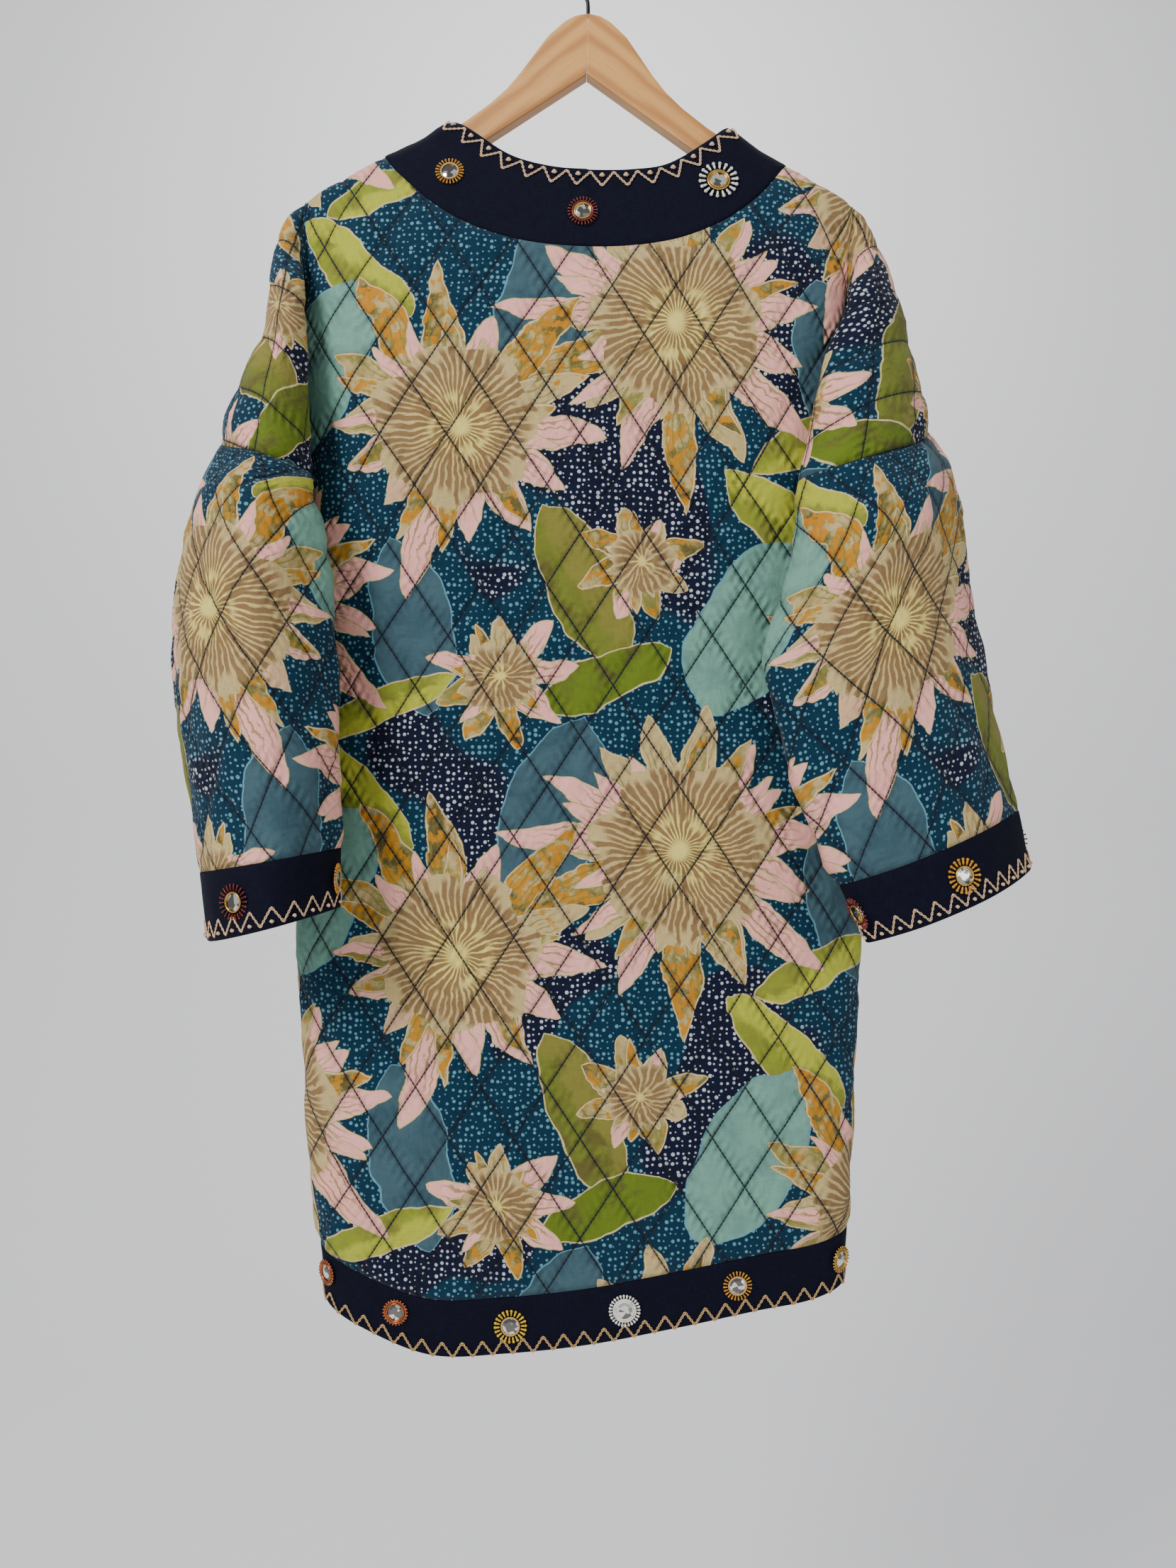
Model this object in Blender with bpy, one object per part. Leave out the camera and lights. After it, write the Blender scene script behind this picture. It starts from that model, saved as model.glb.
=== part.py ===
"""A quilted coat on a wooden hanger, seen from its back. Metres, +Z up, +X to the viewer's right.

The origin is the inside top of the hanger's hook, and the coat's back faces -Y. Sizes below are in
millimetres, and each mesh is scaled to metres when it is made. Every piece of cloth is a wall cut from a
flat pattern (u across from the centre, z down from the origin) and draped by one function of the body,
one of the dropped shoulder and one of the sleeve. The quilting is raised in the wall's outer points.
"""

import math

import bmesh
import bpy
import numpy as np
from mathutils import Matrix, Vector
from mathutils.geometry import delaunay_2d_cdt

# Both walls at a seam split their rims alike, by the order of their points this way
RIM_ORDER = np.array([0.37, 0.61, 0.71])

# Driving sizes, in millimetres
QUILT_WIDE = 50.0
QUILT_TALL = 76.0
QUILT_SHIFT = (-6.0, -21.0)
PUFF = 2.4
CLOTH = 3.5
BAND = 3.0
SEAM = 0.3
UNDERARM_EASE = 0.8
HEM_BAND = 43.0
BACK_DEPTH = 45.0
FRONT_DEPTH = 38.0
EDGE_ROUND = 3.0
CREASE_POWER = 8.0
CREASE_BLEND = 40.0
RIDGE_ROUND = 13.0
CUFF_FROM = 0.87
SLEEVE_BACK_COLUMNS = 8
SLEEVE_FRONT_COLUMNS = 6
SLEEVE_ROWS = 8
EDGE_STEP = 24.0
# How fast the body fills out below the ridge, how far the shoulder line sags, and how the seam bends
DEPTH_FALL = 70.0
SHOULDER_SAG = 0.055
SEAM_BEND = 1.5
# The cloth folded away beside the arm is left plain over this width and depth
FOLD_WIDE = 42.0
FOLD_TALL = 300.0

# The body's side line: how far each side reaches from the middle at a height
SIDES = {
    "columns": ("z", "left", "right"),
    "rows": (
        (-208, 222, 207.5),
        (-300, 222, 200),
        (-350, 222, 199),
        (-400, 219, 200),
        (-450, 216, 205),
        (-500, 218, 208),
        (-600, 222, 211),
        (-700, 226, 213),
        (-800, 228, 213),
        (-860, 224, 210),
        (-920, 221, 207.5),
        (-980, 215, 205),
        (-1030, 209, 202),
        (-1110, 203, 197),
    ),
}
# The shoulder ridge over the hanger
RIDGE = {
    "columns": ("x", "left_z", "right_z"),
    "rows": (
        (0, -144, -148.5),
        (108, -144.5, -148.5),
        (130, -157, -163),
        (160, -171.5, -181),
        (188, -187, -197),
        (207.5, -198, -210),
        (222, -208, -219),
    ),
}
NECK_EDGE = {
    "columns": ("x", "z"),
    "rows": (
        (-106, -144),
        (-90, -157),
        (-60, -179.7),
        (-30, -189.5),
        (0, -192.3),
        (35, -192),
        (62, -187),
        (94, -165),
        (110, -148.8),
    ),
}
NECK_SEAM = {
    "columns": ("x", "z"),
    "rows": (
        (-161, -172),
        (-148, -192),
        (-109, -228.4),
        (-60, -249.5),
        (0, -256.8),
        (61, -252),
        (103, -236),
        (131, -213.8),
        (157, -179.4),
    ),
}
HEM_EDGE = {
    "columns": ("x", "z"),
    "rows": (
        (-206, -1062),
        (-165, -1080),
        (-112, -1098),
        (-60, -1096),
        (0, -1089),
        (60, -1077),
        (120, -1065),
        (160, -1060),
        (200, -1051),
    ),
}
FRONT_EDGE = {
    "columns": ("u", "z"),
    "rows": ((108, -146), (94, -200), (64, -290), (30, -370), (8, -440), (4, -520), (4, -1014)),
}
FRONT_SEAM = {
    "columns": ("u", "z"),
    "rows": ((158, -176), (150, -225), (124, -312), (90, -395), (69, -460), (64, -540), (64, -1014)),
}

# The dropped shoulders: each row is one distance down from the shoulder tip, in the arm's own section
ARM_COLUMNS = (
    "down", "return_x", "return_y", "lip_x", "lip_y", "crown_x", "crown_y", "outer_x", "outer_y",
)
ARM_PARTS = ("return", "lip", "crown", "outer")
ARMS = {
    ("left", "back"): (
        (0, 222, 0, 222, 0, 222, 0, 222, 0),
        (12, 222, -12, 225, -13, 229, -12, 232, -8),
        (40, 223, -14, 226, -22, 232, -26, 240, -18),
        (90, 221, -34, 215, -46, 228, -56, 243, -36),
        (140, 219, -42, 210, -54, 228, -74, 251, -50),
        (190, 218, -42, 207, -60, 232, -86, 266, -56),
        (240, 218.5, -42, 204, -64, 238, -92, 276, -60),
    ),
    ("right", "back"): (
        (0, 207.5, 0, 207.5, 0, 207.5, 0, 207.5, 0),
        (12, 207.5, -12, 210, -13, 213, -12, 215, -8),
        (40, 207, -14, 209, -20, 216, -24, 225, -16),
        (90, 200.5, -36, 197, -46, 215, -56, 236, -34),
        (140, 195, -42, 177, -54, 203, -71, 238, -48),
        (190, 198, -36, 165, -58, 196, -79, 242, -54),
        (245, 204, -30, 153, -62, 188, -83, 244, -58),
    ),
    ("left", "front"): (
        (0, 222, 0, 222, 0, 222, 0, 222, 0),
        (12, 222, 12, 225, 13, 229, 12, 232, 8),
        (40, 223, 14, 227, 17, 233, 18, 240, 12),
        (90, 225, 24, 231, 33, 240, 36, 247, 22),
        (140, 226, 28, 234, 42, 247, 46, 259, 28),
        (190, 224, 26, 236, 44, 255, 50, 273, 32),
        (240, 224, 26, 240, 46, 264, 52, 286, 34),
    ),
    ("right", "front"): (
        (0, 207.5, 0, 207.5, 0, 207.5, 0, 207.5, 0),
        (12, 207.5, 12, 210, 13, 213, 12, 215, 8),
        (40, 208, 14, 212, 16, 218, 17, 224, 12),
        (90, 205, 24, 212, 32, 224, 36, 238, 22),
        (140, 206, 28, 216, 42, 232, 45, 248, 28),
        (190, 207, 26, 219, 44, 238, 50, 258, 32),
        (245, 212, 26, 224, 46, 246, 52, 268, 34),
    ),
}
# The shoulder line's reach at a distance down from the tip
ARM_EDGE = {
    "left": (
        (0, 222), (12, 233), (27, 242.5), (60, 247), (98, 251),
        (124, 258.5), (153, 268), (196, 283), (240, 296),
    ),
    "right": ((0, 207.5), (31, 226), (67, 238), (91, 246), (124, 253), (163, 262), (185, 267), (245, 281)),
}
TIP = {"left": (222.0, -208.0), "right": (207.5, -210.0)}
UNDERARM_DOWN = {"left": 235.0, "right": 245.0}
SHOULDER_DOWN = {"left": 196.0, "right": 185.0}
SHOULDER_SLOPE = {"back": math.radians(29), "front": math.radians(51)}
VALLEY_DEPTH = {"left": 15.0, "right": 20.0}

# The sleeves: a closed section at each fraction of the length, as (x, y) of ten named points
SLEEVE_POINTS = (
    "under", "return", "inner", "near", "near_out", "edge", "far_out", "far_mid", "far_in", "far_return",
)
SLEEVES = {
    "left": {
        0.15: ((226, -40), (210, -62), (196, -78), (235, -122), (280, -86),
               (298, -20), (290, 10), (270, 18), (250, 6), (236, -16)),
        0.37: ((224, -57), (206, -66), (186, -84), (228, -132), (284, -104),
               (312, -42), (303, -10), (282, -2), (258, -12), (240, -37)),
        0.60: ((222, -58), (202, -66), (180, -86), (222, -136), (278, -110),
               (306, -50), (297, -18), (276, -8), (254, -20), (239, -42)),
        0.80: ((220, -60), (200, -68), (178, -90), (216, -140), (266, -116),
               (291, -58), (283, -26), (265, -16), (250, -26), (238, -46)),
        1.00: ((216, -63), (198, -72), (178, -94), (212, -142), (258, -120),
               (280, -62), (273, -32), (258, -22), (246, -32), (234, -50)),
    },
    "right": {
        0.15: ((214, -44), (182, -60), (149, -71), (195, -100), (248, -76),
               (282, -20), (278, 6), (260, 14), (240, 4), (224, -18)),
        0.37: ((210, -57), (170, -62), (129, -76), (180, -101), (240, -84),
               (289, -34), (285, -12), (264, -8), (242, -24), (226, -42)),
        0.60: ((208, -62), (178, -67), (149, -78), (196, -102), (256, -88),
               (305, -40), (301, -20), (279, -14), (254, -32), (232, -50)),
        0.80: ((222, -62), (198, -69), (173, -80), (215, -104), (270, -92),
               (318, -48), (314, -28), (293, -22), (268, -36), (246, -50)),
        1.00: ((240, -64), (220, -71), (202, -82), (238, -104), (288, -96),
               (330, -56), (326, -37), (307, -31), (284, -41), (262, -53)),
    },
}
# Heights of each sleeve's inner and outer edge at those fractions
SLEEVE_HEIGHTS = {
    "columns": ("fraction", "inner_z", "outer_z"),
    "left": (
        (0.15, -476, -451), (0.37, -548, -536), (0.60, -623, -625), (0.80, -688, -703), (1.0, -754, -780),
    ),
    "right": (
        (0.15, -507, -436), (0.37, -579, -513), (0.60, -658, -592), (0.80, -717, -661), (1.0, -781, -730),
    ),
}

# The mirrors
MIRROR_WIDE = 20.0
MIRROR_TALL = 2.4
CUFF_MIRRORS = 4
FRONT_BAND_MIRRORS = 6
NECK_MIRRORS = ((-106, -196), (-4, -229), (100, -203))
# Places on the hem: x on the back, shares of the half hem on the front
BACK_HEM_MIRRORS = (-200, -146, -58.5, 27.6, 113, 187)
FRONT_HEM_MIRRORS = (0.75, 0.35)

# The hanger
WOOD_THICK = 14.0
HANGER_TILT = math.radians(1.3)
WIRE = 3.0
HOOK_RADIUS = 19.0
WOOD_TOP = -60.0
HANGER_HALF = (
    (0.15, -60), (10, -62), (18, -66.4), (31, -78.2), (41.8, -93.2), (52.5, -108.2), (63.2, -121.1),
    (76.1, -133), (95.4, -147.5), (112, -158), (161, -184), (193, -205.5), (200, -212), (203, -217),
    (202, -223), (197, -228), (188, -228), (95, -173), (0.15, -108.2),
)

COLOURS = {
    "quilt": (0.02, 0.09, 0.12),
    "band": (0.004, 0.006, 0.02),
    "wood": (0.42, 0.23, 0.09),
    "wire": (0.01, 0.01, 0.012),
    "mirror": (0.75, 0.72, 0.65),
}


def material(name, colour, roughness=0.85, metallic=0.0):
    """One Principled material."""
    made = bpy.data.materials.new(name)
    made.use_nodes = True
    shader = made.node_tree.nodes["Principled BSDF"]
    shader.inputs["Base Color"].default_value = (*colour, 1.0)
    shader.inputs["Roughness"].default_value = roughness
    shader.inputs["Metallic"].default_value = metallic
    return made


def add_mesh(name, points, faces, finish):
    """One object from points in millimetres."""
    mesh = bpy.data.meshes.new(name)
    corners = [tuple(float(v) * 0.001 for v in p) for p in points]
    mesh.from_pydata(corners, [], [tuple(map(int, f)) for f in faces])
    mesh.materials.append(finish)
    mesh.shade_smooth()
    mesh.set_sharp_from_angle(angle=math.radians(50))
    made = bpy.data.objects.new(name, mesh)
    bpy.context.scene.collection.objects.link(made)
    return made


def hermite(x, xs, ys):
    """A smooth curve through the values ys at the places xs, read at x and held beyond the ends."""
    xs = np.asarray(xs, float)
    ys = np.asarray(ys, float)
    x = np.clip(np.asarray(x, float), xs[0], xs[-1])
    slopes = np.empty_like(ys)
    slopes[1:-1] = (ys[2:] - ys[:-2]) / (xs[2:] - xs[:-2])
    slopes[0] = (ys[1] - ys[0]) / (xs[1] - xs[0])
    slopes[-1] = (ys[-1] - ys[-2]) / (xs[-1] - xs[-2])
    i = np.clip(np.searchsorted(xs, x, side="right") - 1, 0, len(xs) - 2)
    span = xs[i + 1] - xs[i]
    t = (x - xs[i]) / span
    a = (2 * t**3 - 3 * t**2 + 1) * ys[i] + (t**3 - 2 * t**2 + t) * span * slopes[i]
    return a + (3 * t**2 - 2 * t**3) * ys[i + 1] + (t**3 - t**2) * span * slopes[i + 1]


def along(points, per_span=24):
    """A dense smooth line through points of any dimension."""
    points = np.asarray(points, float)
    knots = np.concatenate([[0], np.cumsum(np.linalg.norm(np.diff(points, axis=0), axis=1))])
    at = np.unique(np.concatenate([np.linspace(a, b, per_span) for a, b in zip(knots[:-1], knots[1:])]))
    return np.stack([hermite(at, knots, points[:, k]) for k in range(points.shape[1])], axis=1)


def by_length(line, fractions):
    """Points at fractions of a line's length."""
    reach = np.concatenate([[0], np.cumsum(np.linalg.norm(np.diff(line, axis=0), axis=1))])
    at = np.asarray(fractions, float) * reach[-1]
    return np.stack([np.interp(at, reach, line[:, k]) for k in range(line.shape[1])], axis=1)


def column(table, name):
    """One named column of a table."""
    return [row[table["columns"].index(name)] for row in table["rows"]]


def length_of(line):
    return float(np.linalg.norm(np.diff(line, axis=0), axis=1).sum())


# The body's section is a flattened round: this is its edge, read by arc length
_swing = np.sin(np.linspace(0, math.pi / 2, 400))
_profile = np.stack([_swing, (BACK_DEPTH / 215.0) * (1 - _swing**EDGE_ROUND) ** (1 / EDGE_ROUND)], axis=1)
_reach = np.concatenate([[0], np.cumsum(np.linalg.norm(np.diff(_profile, axis=0), axis=1))])
ROUND_GAIN = float(_reach[-1])


def side_at(side, z):
    """How far the side lies from the middle at a height."""
    rows = SIDES["rows"][::-1]
    place = SIDES["columns"].index(side)
    return hermite(z, [row[0] for row in rows], [row[place] for row in rows])


def ridge_at(side, x):
    """The ridge's height at a distance from the middle."""
    return hermite(x, column(RIDGE, "x"), column(RIDGE, side + "_z"))


def tip_flat(side):
    x, z = TIP[side]
    return np.array([x * ROUND_GAIN, z])


def underarm_flat(side):
    z = TIP[side][1] - UNDERARM_DOWN[side]
    return np.array([float(side_at(side, z)) * ROUND_GAIN, z])


def half_at(side, z):
    """The flat pattern's half width at a height."""
    tip, under = tip_flat(side), underarm_flat(side)
    straight = tip[0] + (under[0] - tip[0]) * np.clip((tip[1] - z) / (tip[1] - under[1]), 0, 1)
    return np.where(z < under[1], side_at(side, z) * ROUND_GAIN, straight)


def flat_u(side, x, z):
    """The flat pattern's u at a distance x from the middle."""
    share = np.interp(np.asarray(x) / side_at(side, z), _swing, _reach / ROUND_GAIN)
    return share * half_at(side, z)


def body_point(side, face, u, z):
    """The body of the coat, for u from 0 to the half width. x is positive on both sides here."""
    share = np.clip(u / half_at(side, z), 0, 1)
    part = np.interp(share, _reach / ROUND_GAIN, _swing)
    x = side_at(side, z) * part
    drop = np.maximum(ridge_at(side, x) - z, 0)
    rounded = RIDGE_ROUND * np.sqrt(np.clip(1 - (1 - np.minimum(drop, RIDGE_ROUND) / RIDGE_ROUND) ** 2, 0, 1))
    full = BACK_DEPTH if face == "back" else FRONT_DEPTH
    depth = rounded + (full - RIDGE_ROUND) * (1 - np.exp(-np.maximum(drop - 4, 0) / DEPTH_FALL))
    under = TIP[side][1] - UNDERARM_DOWN[side]
    fall = np.clip((TIP[side][1] - z) / (TIP[side][1] - under), 0, 1)
    valley = np.minimum(VALLEY_DEPTH[side] * np.sin(math.pi * fall), depth)
    part = np.clip(part, 0, 1)
    open_side = np.clip((z - under) / CREASE_BLEND, 0, 1)
    edge = open_side * (1 - part**CREASE_POWER) + (1 - open_side) * (1 - part**EDGE_ROUND) ** (1 / EDGE_ROUND)
    above = np.clip((z - TIP[side][1]) / CREASE_BLEND + 1, 0, 1)
    edge = edge + (1 - edge) * above
    y = valley + (depth - valley) * edge
    return np.stack([x, -y if face == "back" else y, z + 0 * x], axis=-1)


def arm_control(side, face, down):
    """The section's control points at distances down from the tip, as (points, 6 controls, xyz)."""
    down = np.atleast_1d(np.asarray(down, float))
    rows = np.array(ARMS[side, face], float)
    tip = TIP[side]
    read = {name: hermite(down, rows[:, 0], rows[:, k]) for k, name in enumerate(ARM_COLUMNS)}
    z_valley = tip[1] - down
    valley = body_point(side, face, half_at(side, z_valley), z_valley)
    edge = np.array(ARM_EDGE[side], float)
    edge_x = hermite(down, edge[:, 0], edge[:, 1])
    flat = [valley[:, :2]] + [np.stack([read[p + "_x"], read[p + "_y"]], axis=1) for p in ARM_PARTS]
    flat.append(np.stack([edge_x, 0 * edge_x], axis=1))
    return np.stack(flat, axis=1)


def arm_point(side, face, down, share):
    """The dropped shoulder: share 0 is the crease beside the body, 1 the shoulder line."""
    down = np.atleast_1d(np.asarray(down, float))
    share = np.atleast_1d(np.asarray(share, float))
    control = arm_control(side, face, down)
    other = arm_control(side, "front" if face == "back" else "back", down)[:, 4:5]
    control = np.concatenate([control, other], axis=1)
    steps = np.linalg.norm(np.diff(control, axis=1), axis=2) + 1e-6
    knots = np.concatenate([np.zeros((len(down), 1)), np.cumsum(steps, axis=1)], axis=1)
    slopes = np.empty_like(control)
    slopes[:, 1:-1] = (control[:, 2:] - control[:, :-2]) / (knots[:, 2:] - knots[:, :-2])[..., None]
    slopes[:, 0] = (control[:, 1] - control[:, 0]) / steps[:, :1]
    at = share * knots[:, 5]
    i = np.clip((at[:, None] >= knots[:, :6]).sum(axis=1) - 1, 0, 4)
    n = np.arange(len(down))
    span = steps[n, i]
    t = ((at - knots[n, i]) / span)[:, None]
    span = span[:, None]
    xy = (2 * t**3 - 3 * t**2 + 1) * control[n, i] + (t**3 - 2 * t**2 + t) * span * slopes[n, i]
    xy = xy + (3 * t**2 - 2 * t**3) * control[n, i + 1] + (t**3 - t**2) * span * slopes[n, i + 1]
    z = TIP[side][1] - down * (1 - SHOULDER_SAG * share**2)
    return np.concatenate([xy, z[:, None]], axis=1)


def seam_down(side, share):
    """How far down from the tip the sleeve's seam lies."""
    low, high = UNDERARM_DOWN[side], SHOULDER_DOWN[side]
    return high + (low - high) * (1 - np.asarray(share, float) ** SEAM_BEND)


def arm_angles(side, face):
    """The flat wedge of the dropped shoulder: the crease's angle and the shoulder line's."""
    way = underarm_flat(side) - tip_flat(side)
    return math.atan2(-way[1], way[0]), SHOULDER_SLOPE[face]


def arm_flat(side, face, down, share):
    """Where a point of the dropped shoulder lies in the flat pattern."""
    crease, line = arm_angles(side, face)
    angle = crease + (line - crease) * np.asarray(share, float)
    tip = tip_flat(side)
    return np.stack([tip[0] + down * np.cos(angle), tip[1] - down * np.sin(angle)], axis=-1)


def panel_point(side, face, flat):
    """The cloth's place for a point of the flat pattern, on the body or on the dropped shoulder."""
    flat = np.atleast_2d(flat)
    u, z = flat[:, 0], flat[:, 1]
    out = body_point(side, face, u, z)
    crease, line = arm_angles(side, face)
    tip = tip_flat(side)
    away = flat - tip
    down = np.linalg.norm(away, axis=1)
    angle = np.arctan2(-away[:, 1], away[:, 0])
    on_arm = (u > half_at(side, z) + 1e-6) & (angle > 0) & (z > underarm_flat(side)[1] - 1e-6)
    on_arm &= away[:, 1] < 0
    if on_arm.any():
        share = np.clip((crease - angle[on_arm]) / (crease - line), 0, 1)
        out[on_arm] = arm_point(side, face, down[on_arm], share)
    return out


def place(face, flat):
    """The cloth's place for signed flat points: u below 0 is the left side."""
    flat = np.atleast_2d(np.asarray(flat, float))
    out = np.empty((len(flat), 3))
    for side, sign in (("left", -1), ("right", 1)):
        here = flat[:, 0] < 0 if side == "left" else flat[:, 0] >= 0
        if here.any():
            points = panel_point(side, face, flat[here] * (sign, 1))
            points[:, 0] *= sign
            out[here] = points
    out[:, 1] += SEAM / 2 if face == "front" else -SEAM / 2
    return out


def place_normal(face, flat):
    """The body's outward direction at flat points."""
    flat = np.atleast_2d(np.asarray(flat, float))
    step = 2.0
    across = place(face, flat + (step, 0)) - place(face, flat - (step, 0))
    up = place(face, flat + (0, step)) - place(face, flat - (0, step))
    normal = np.cross(across, up) if face == "back" else np.cross(up, across)
    return normal / np.linalg.norm(normal, axis=1)[:, None]


def vertex_normals(points, faces):
    corners = points[faces]
    normal = np.cross(corners[:, 1] - corners[:, 0], corners[:, 2] - corners[:, 0])
    out = np.zeros_like(points)
    for k in range(3):
        np.add.at(out, faces[:, k], normal)
    return out / np.linalg.norm(out, axis=1)[:, None]


def wall(name, points, faces, thickness, finish, raised=None, fixed=None, square=None, face=None):
    """A wall of cloth under the points: raised outside, plain inside, closed by its rim.

    fixed gives the direction at some points, and square lists points whose direction is set at right
    angles to an axis, so that two walls which meet at a seam end in parallel faces. face keeps the
    inside of a back or a front on its own side of the shoulder and side seams.
    """
    points = np.asarray(points, float)
    faces = np.asarray(faces, int)
    normals = vertex_normals(points, faces)
    for index, normal in (fixed or {}).items():
        normals[index] = normal
    for index, axis in square or ():
        axis = np.asarray(axis, float)
        normal = normals[index] - axis * (normals[index] @ axis)
        normals[index] = normal / np.linalg.norm(normal)
    raised = np.zeros(len(points)) if raised is None else raised
    outer = points + normals * raised[:, None]
    inner = points - normals * thickness
    if face == "back":
        inner[:, 1] = np.minimum(inner[:, 1], -SEAM / 2)
    if face == "front":
        inner[:, 1] = np.maximum(inner[:, 1], SEAM / 2)
    n = len(points)
    ends = np.concatenate([faces[:, [0, 1]], faces[:, [1, 2]], faces[:, [2, 0]]])
    known = {(int(a), int(b)) for a, b in ends}
    rim = [(a, b) for a, b in known if (b, a) not in known]
    sides = []
    order = points @ RIM_ORDER
    for a, b in sorted(rim):
        if order[a] < order[b]:
            sides += [(b, a, b + n), (a, a + n, b + n)]
        else:
            sides += [(b, a, a + n), (b, a + n, b + n)]
    whole = np.concatenate([faces, faces[:, ::-1] + n, np.array(sides, int)])
    return add_mesh(name, np.concatenate([outer, inner]), whole, finish)


def inside(outline, points):
    """Which points lie inside an outline."""
    result = np.zeros(len(points), bool)
    for a, b in zip(outline, np.roll(outline, -1, axis=0)):
        crosses = (a[1] > points[:, 1]) != (b[1] > points[:, 1])
        with np.errstate(divide="ignore", invalid="ignore"):
            at = (b[0] - a[0]) * (points[:, 1] - a[1]) / (b[1] - a[1]) + a[0]
        result ^= crosses & (points[:, 0] < at)
    return result


def far_from(outline, points, extra):
    """Each point's distance from the outline and from the extra lines."""
    best = np.full(len(points), 1e9)
    spans = list(zip(outline, np.roll(outline, -1, axis=0)))
    for line in extra:
        spans += list(zip(line[:-1], line[1:]))
    for a, b in spans:
        along_span = b - a
        t = np.clip((points - a) @ along_span / (along_span @ along_span + 1e-12), 0, 1)
        best = np.minimum(best, np.linalg.norm(points - (a + t[:, None] * along_span), axis=1))
    return best


def quilted(outline, extra=(), plain=None, clearance=9.0):
    """A flat pattern cut into triangles along the quilting lines, as (points, faces, raised)."""
    outline = np.asarray(outline, float)
    low, high = outline.min(axis=0), outline.max(axis=0)
    half = np.array([QUILT_WIDE / 2, QUILT_TALL / 2])
    first = np.floor((low - QUILT_SHIFT) / half).astype(int)
    last = np.ceil((high - QUILT_SHIFT) / half).astype(int)
    nodes = [(i, j) for i in range(first[0], last[0] + 1) for j in range(first[1], last[1] + 1)]
    spots = np.array(nodes, float) * half + QUILT_SHIFT
    keep = inside(outline, spots)
    keep &= far_from(outline, spots, extra) > clearance
    points = [tuple(p) for p in outline]
    raised = [0.0] * len(points)
    edges = [(k, (k + 1) % len(points)) for k in range(len(points))]
    for line in extra:
        start = len(points)
        points += [tuple(p) for p in line]
        raised += [0.0] * len(line)
        edges += [(start + k, start + k + 1) for k in range(len(line) - 1)]
    index = {}
    for node, spot, kept in zip(nodes, spots, keep):
        if kept:
            index[node] = len(points)
            points.append(tuple(spot))
            flat_here = plain is not None and plain(spot)
            raised.append(PUFF if sum(node) % 2 and not flat_here else 0.0)
    for (i, j), k in index.items():
        if (i + j) % 2 == 0:
            edges += [(k, index[i + a, j + 1]) for a in (-1, 1) if (i + a, j + 1) in index]
    made = delaunay_2d_cdt([Vector(p) for p in points], edges, [], 1, 1e-5)
    flat = np.array([tuple(p) for p in made[0]])
    lift = np.array([max(raised[k] for k in ids) if ids else 0.0 for ids in made[3]])
    faces = []
    for face in made[2]:
        a, b, c = (flat[k] for k in face)
        turn = (b[0] - a[0]) * (c[1] - a[1]) - (b[1] - a[1]) * (c[0] - a[0])
        faces.append(face if turn > 0 else face[::-1])
    return flat, np.array(faces), lift


def steps_between(a, b, step=EDGE_STEP):
    """Evenly placed points from a to b, without b."""
    a, b = np.asarray(a, float), np.asarray(b, float)
    count = max(1, round(float(np.linalg.norm(b - a)) / step))
    return [a + (b - a) * k / count for k in range(count)]


def hem_at(x):
    return hermite(x, column(HEM_EDGE, "x"), column(HEM_EDGE, "z"))


def side_line(sign, top, bottom):
    """The side seam's points in the flat pattern, from the bottom up."""
    side = "left" if sign < 0 else "right"
    count = round((top - bottom) / EDGE_STEP)
    z = np.linspace(bottom, top, count + 1)
    return np.stack([sign * half_at(side, z), z], axis=1)


def seam_line(side, face):
    """The sleeve seam's points in the flat pattern, from the underarm to the shoulder line."""
    count = SLEEVE_BACK_COLUMNS if face == "back" else SLEEVE_FRONT_COLUMNS
    share = np.linspace(0, 1, count + 1)
    return arm_flat(side, face, seam_down(side, share), share), share


def ridge_line(side, from_x, down=0.0):
    """The shoulder seam's points in the flat pattern, from a place beside the neck out to the tip."""
    x = np.linspace(from_x, TIP[side][0], 4 if side == "left" else 3)
    z = ridge_at(side, x) - down
    return np.stack([flat_u(side, x, z), z], axis=1)


def band_corner(side):
    """Where the neck band's seam meets the shoulder seam, as x."""
    return abs(NECK_SEAM["rows"][0 if side == "left" else -1][0])


def hem_seam_height(sign):
    """The height at which the side seam meets the hem band."""
    side = "left" if sign < 0 else "right"
    z = hem_at(sign * 200.0) + HEM_BAND
    for _ in range(3):
        z = hem_at(sign * float(side_at(side, z))) + HEM_BAND
    return float(z)


def half_outline(sign, face):
    """One side of a panel's outline in the flat pattern, from the hem's side corner to the neck seam.

    Each entry is (point, kind, share), where kind names the seam and share is its place on the sleeve.
    """
    side = "left" if sign < 0 else "right"
    under = underarm_flat(side)
    entries = []
    for k, point in enumerate(side_line(sign, under[1], hem_seam_height(sign))[:-1]):
        entries.append((point, "hem side" if k == 0 else "side", None))
    seam, shares = seam_line(side, face)
    for k, (point, share) in enumerate(zip(seam, shares)):
        kind = "underarm" if k == 0 else "top" if k == len(seam) - 1 else "sleeve"
        entries.append((point * (sign, 1), kind, share))
    tip = tip_flat(side)
    for point in steps_between(seam[-1], tip)[1:]:
        entries.append((point * (sign, 1), "shoulder", None))
    ridge = ridge_line(side, band_corner(side))[::-1]
    for k, point in enumerate(ridge):
        kind = "shoulder band" if k == len(ridge) - 1 else "shoulder"
        entries.append((point * (sign, 1), kind, None))
    return entries


def body_frame(flat_line):
    """A line in x and z turned into the flat pattern."""
    out = []
    for x, z in flat_line:
        side = "left" if x < 0 else "right"
        out.append((math.copysign(float(flat_u(side, abs(x), z)), x), z))
    return np.array(out)


def neck_lines(fractions):
    """The neck band's seam and its free edge in the flat pattern, left to right."""
    seam = by_length(along(body_frame(NECK_SEAM["rows"])), fractions)
    edge = by_length(along(body_frame(NECK_EDGE["rows"])), fractions)
    return seam, edge


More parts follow.
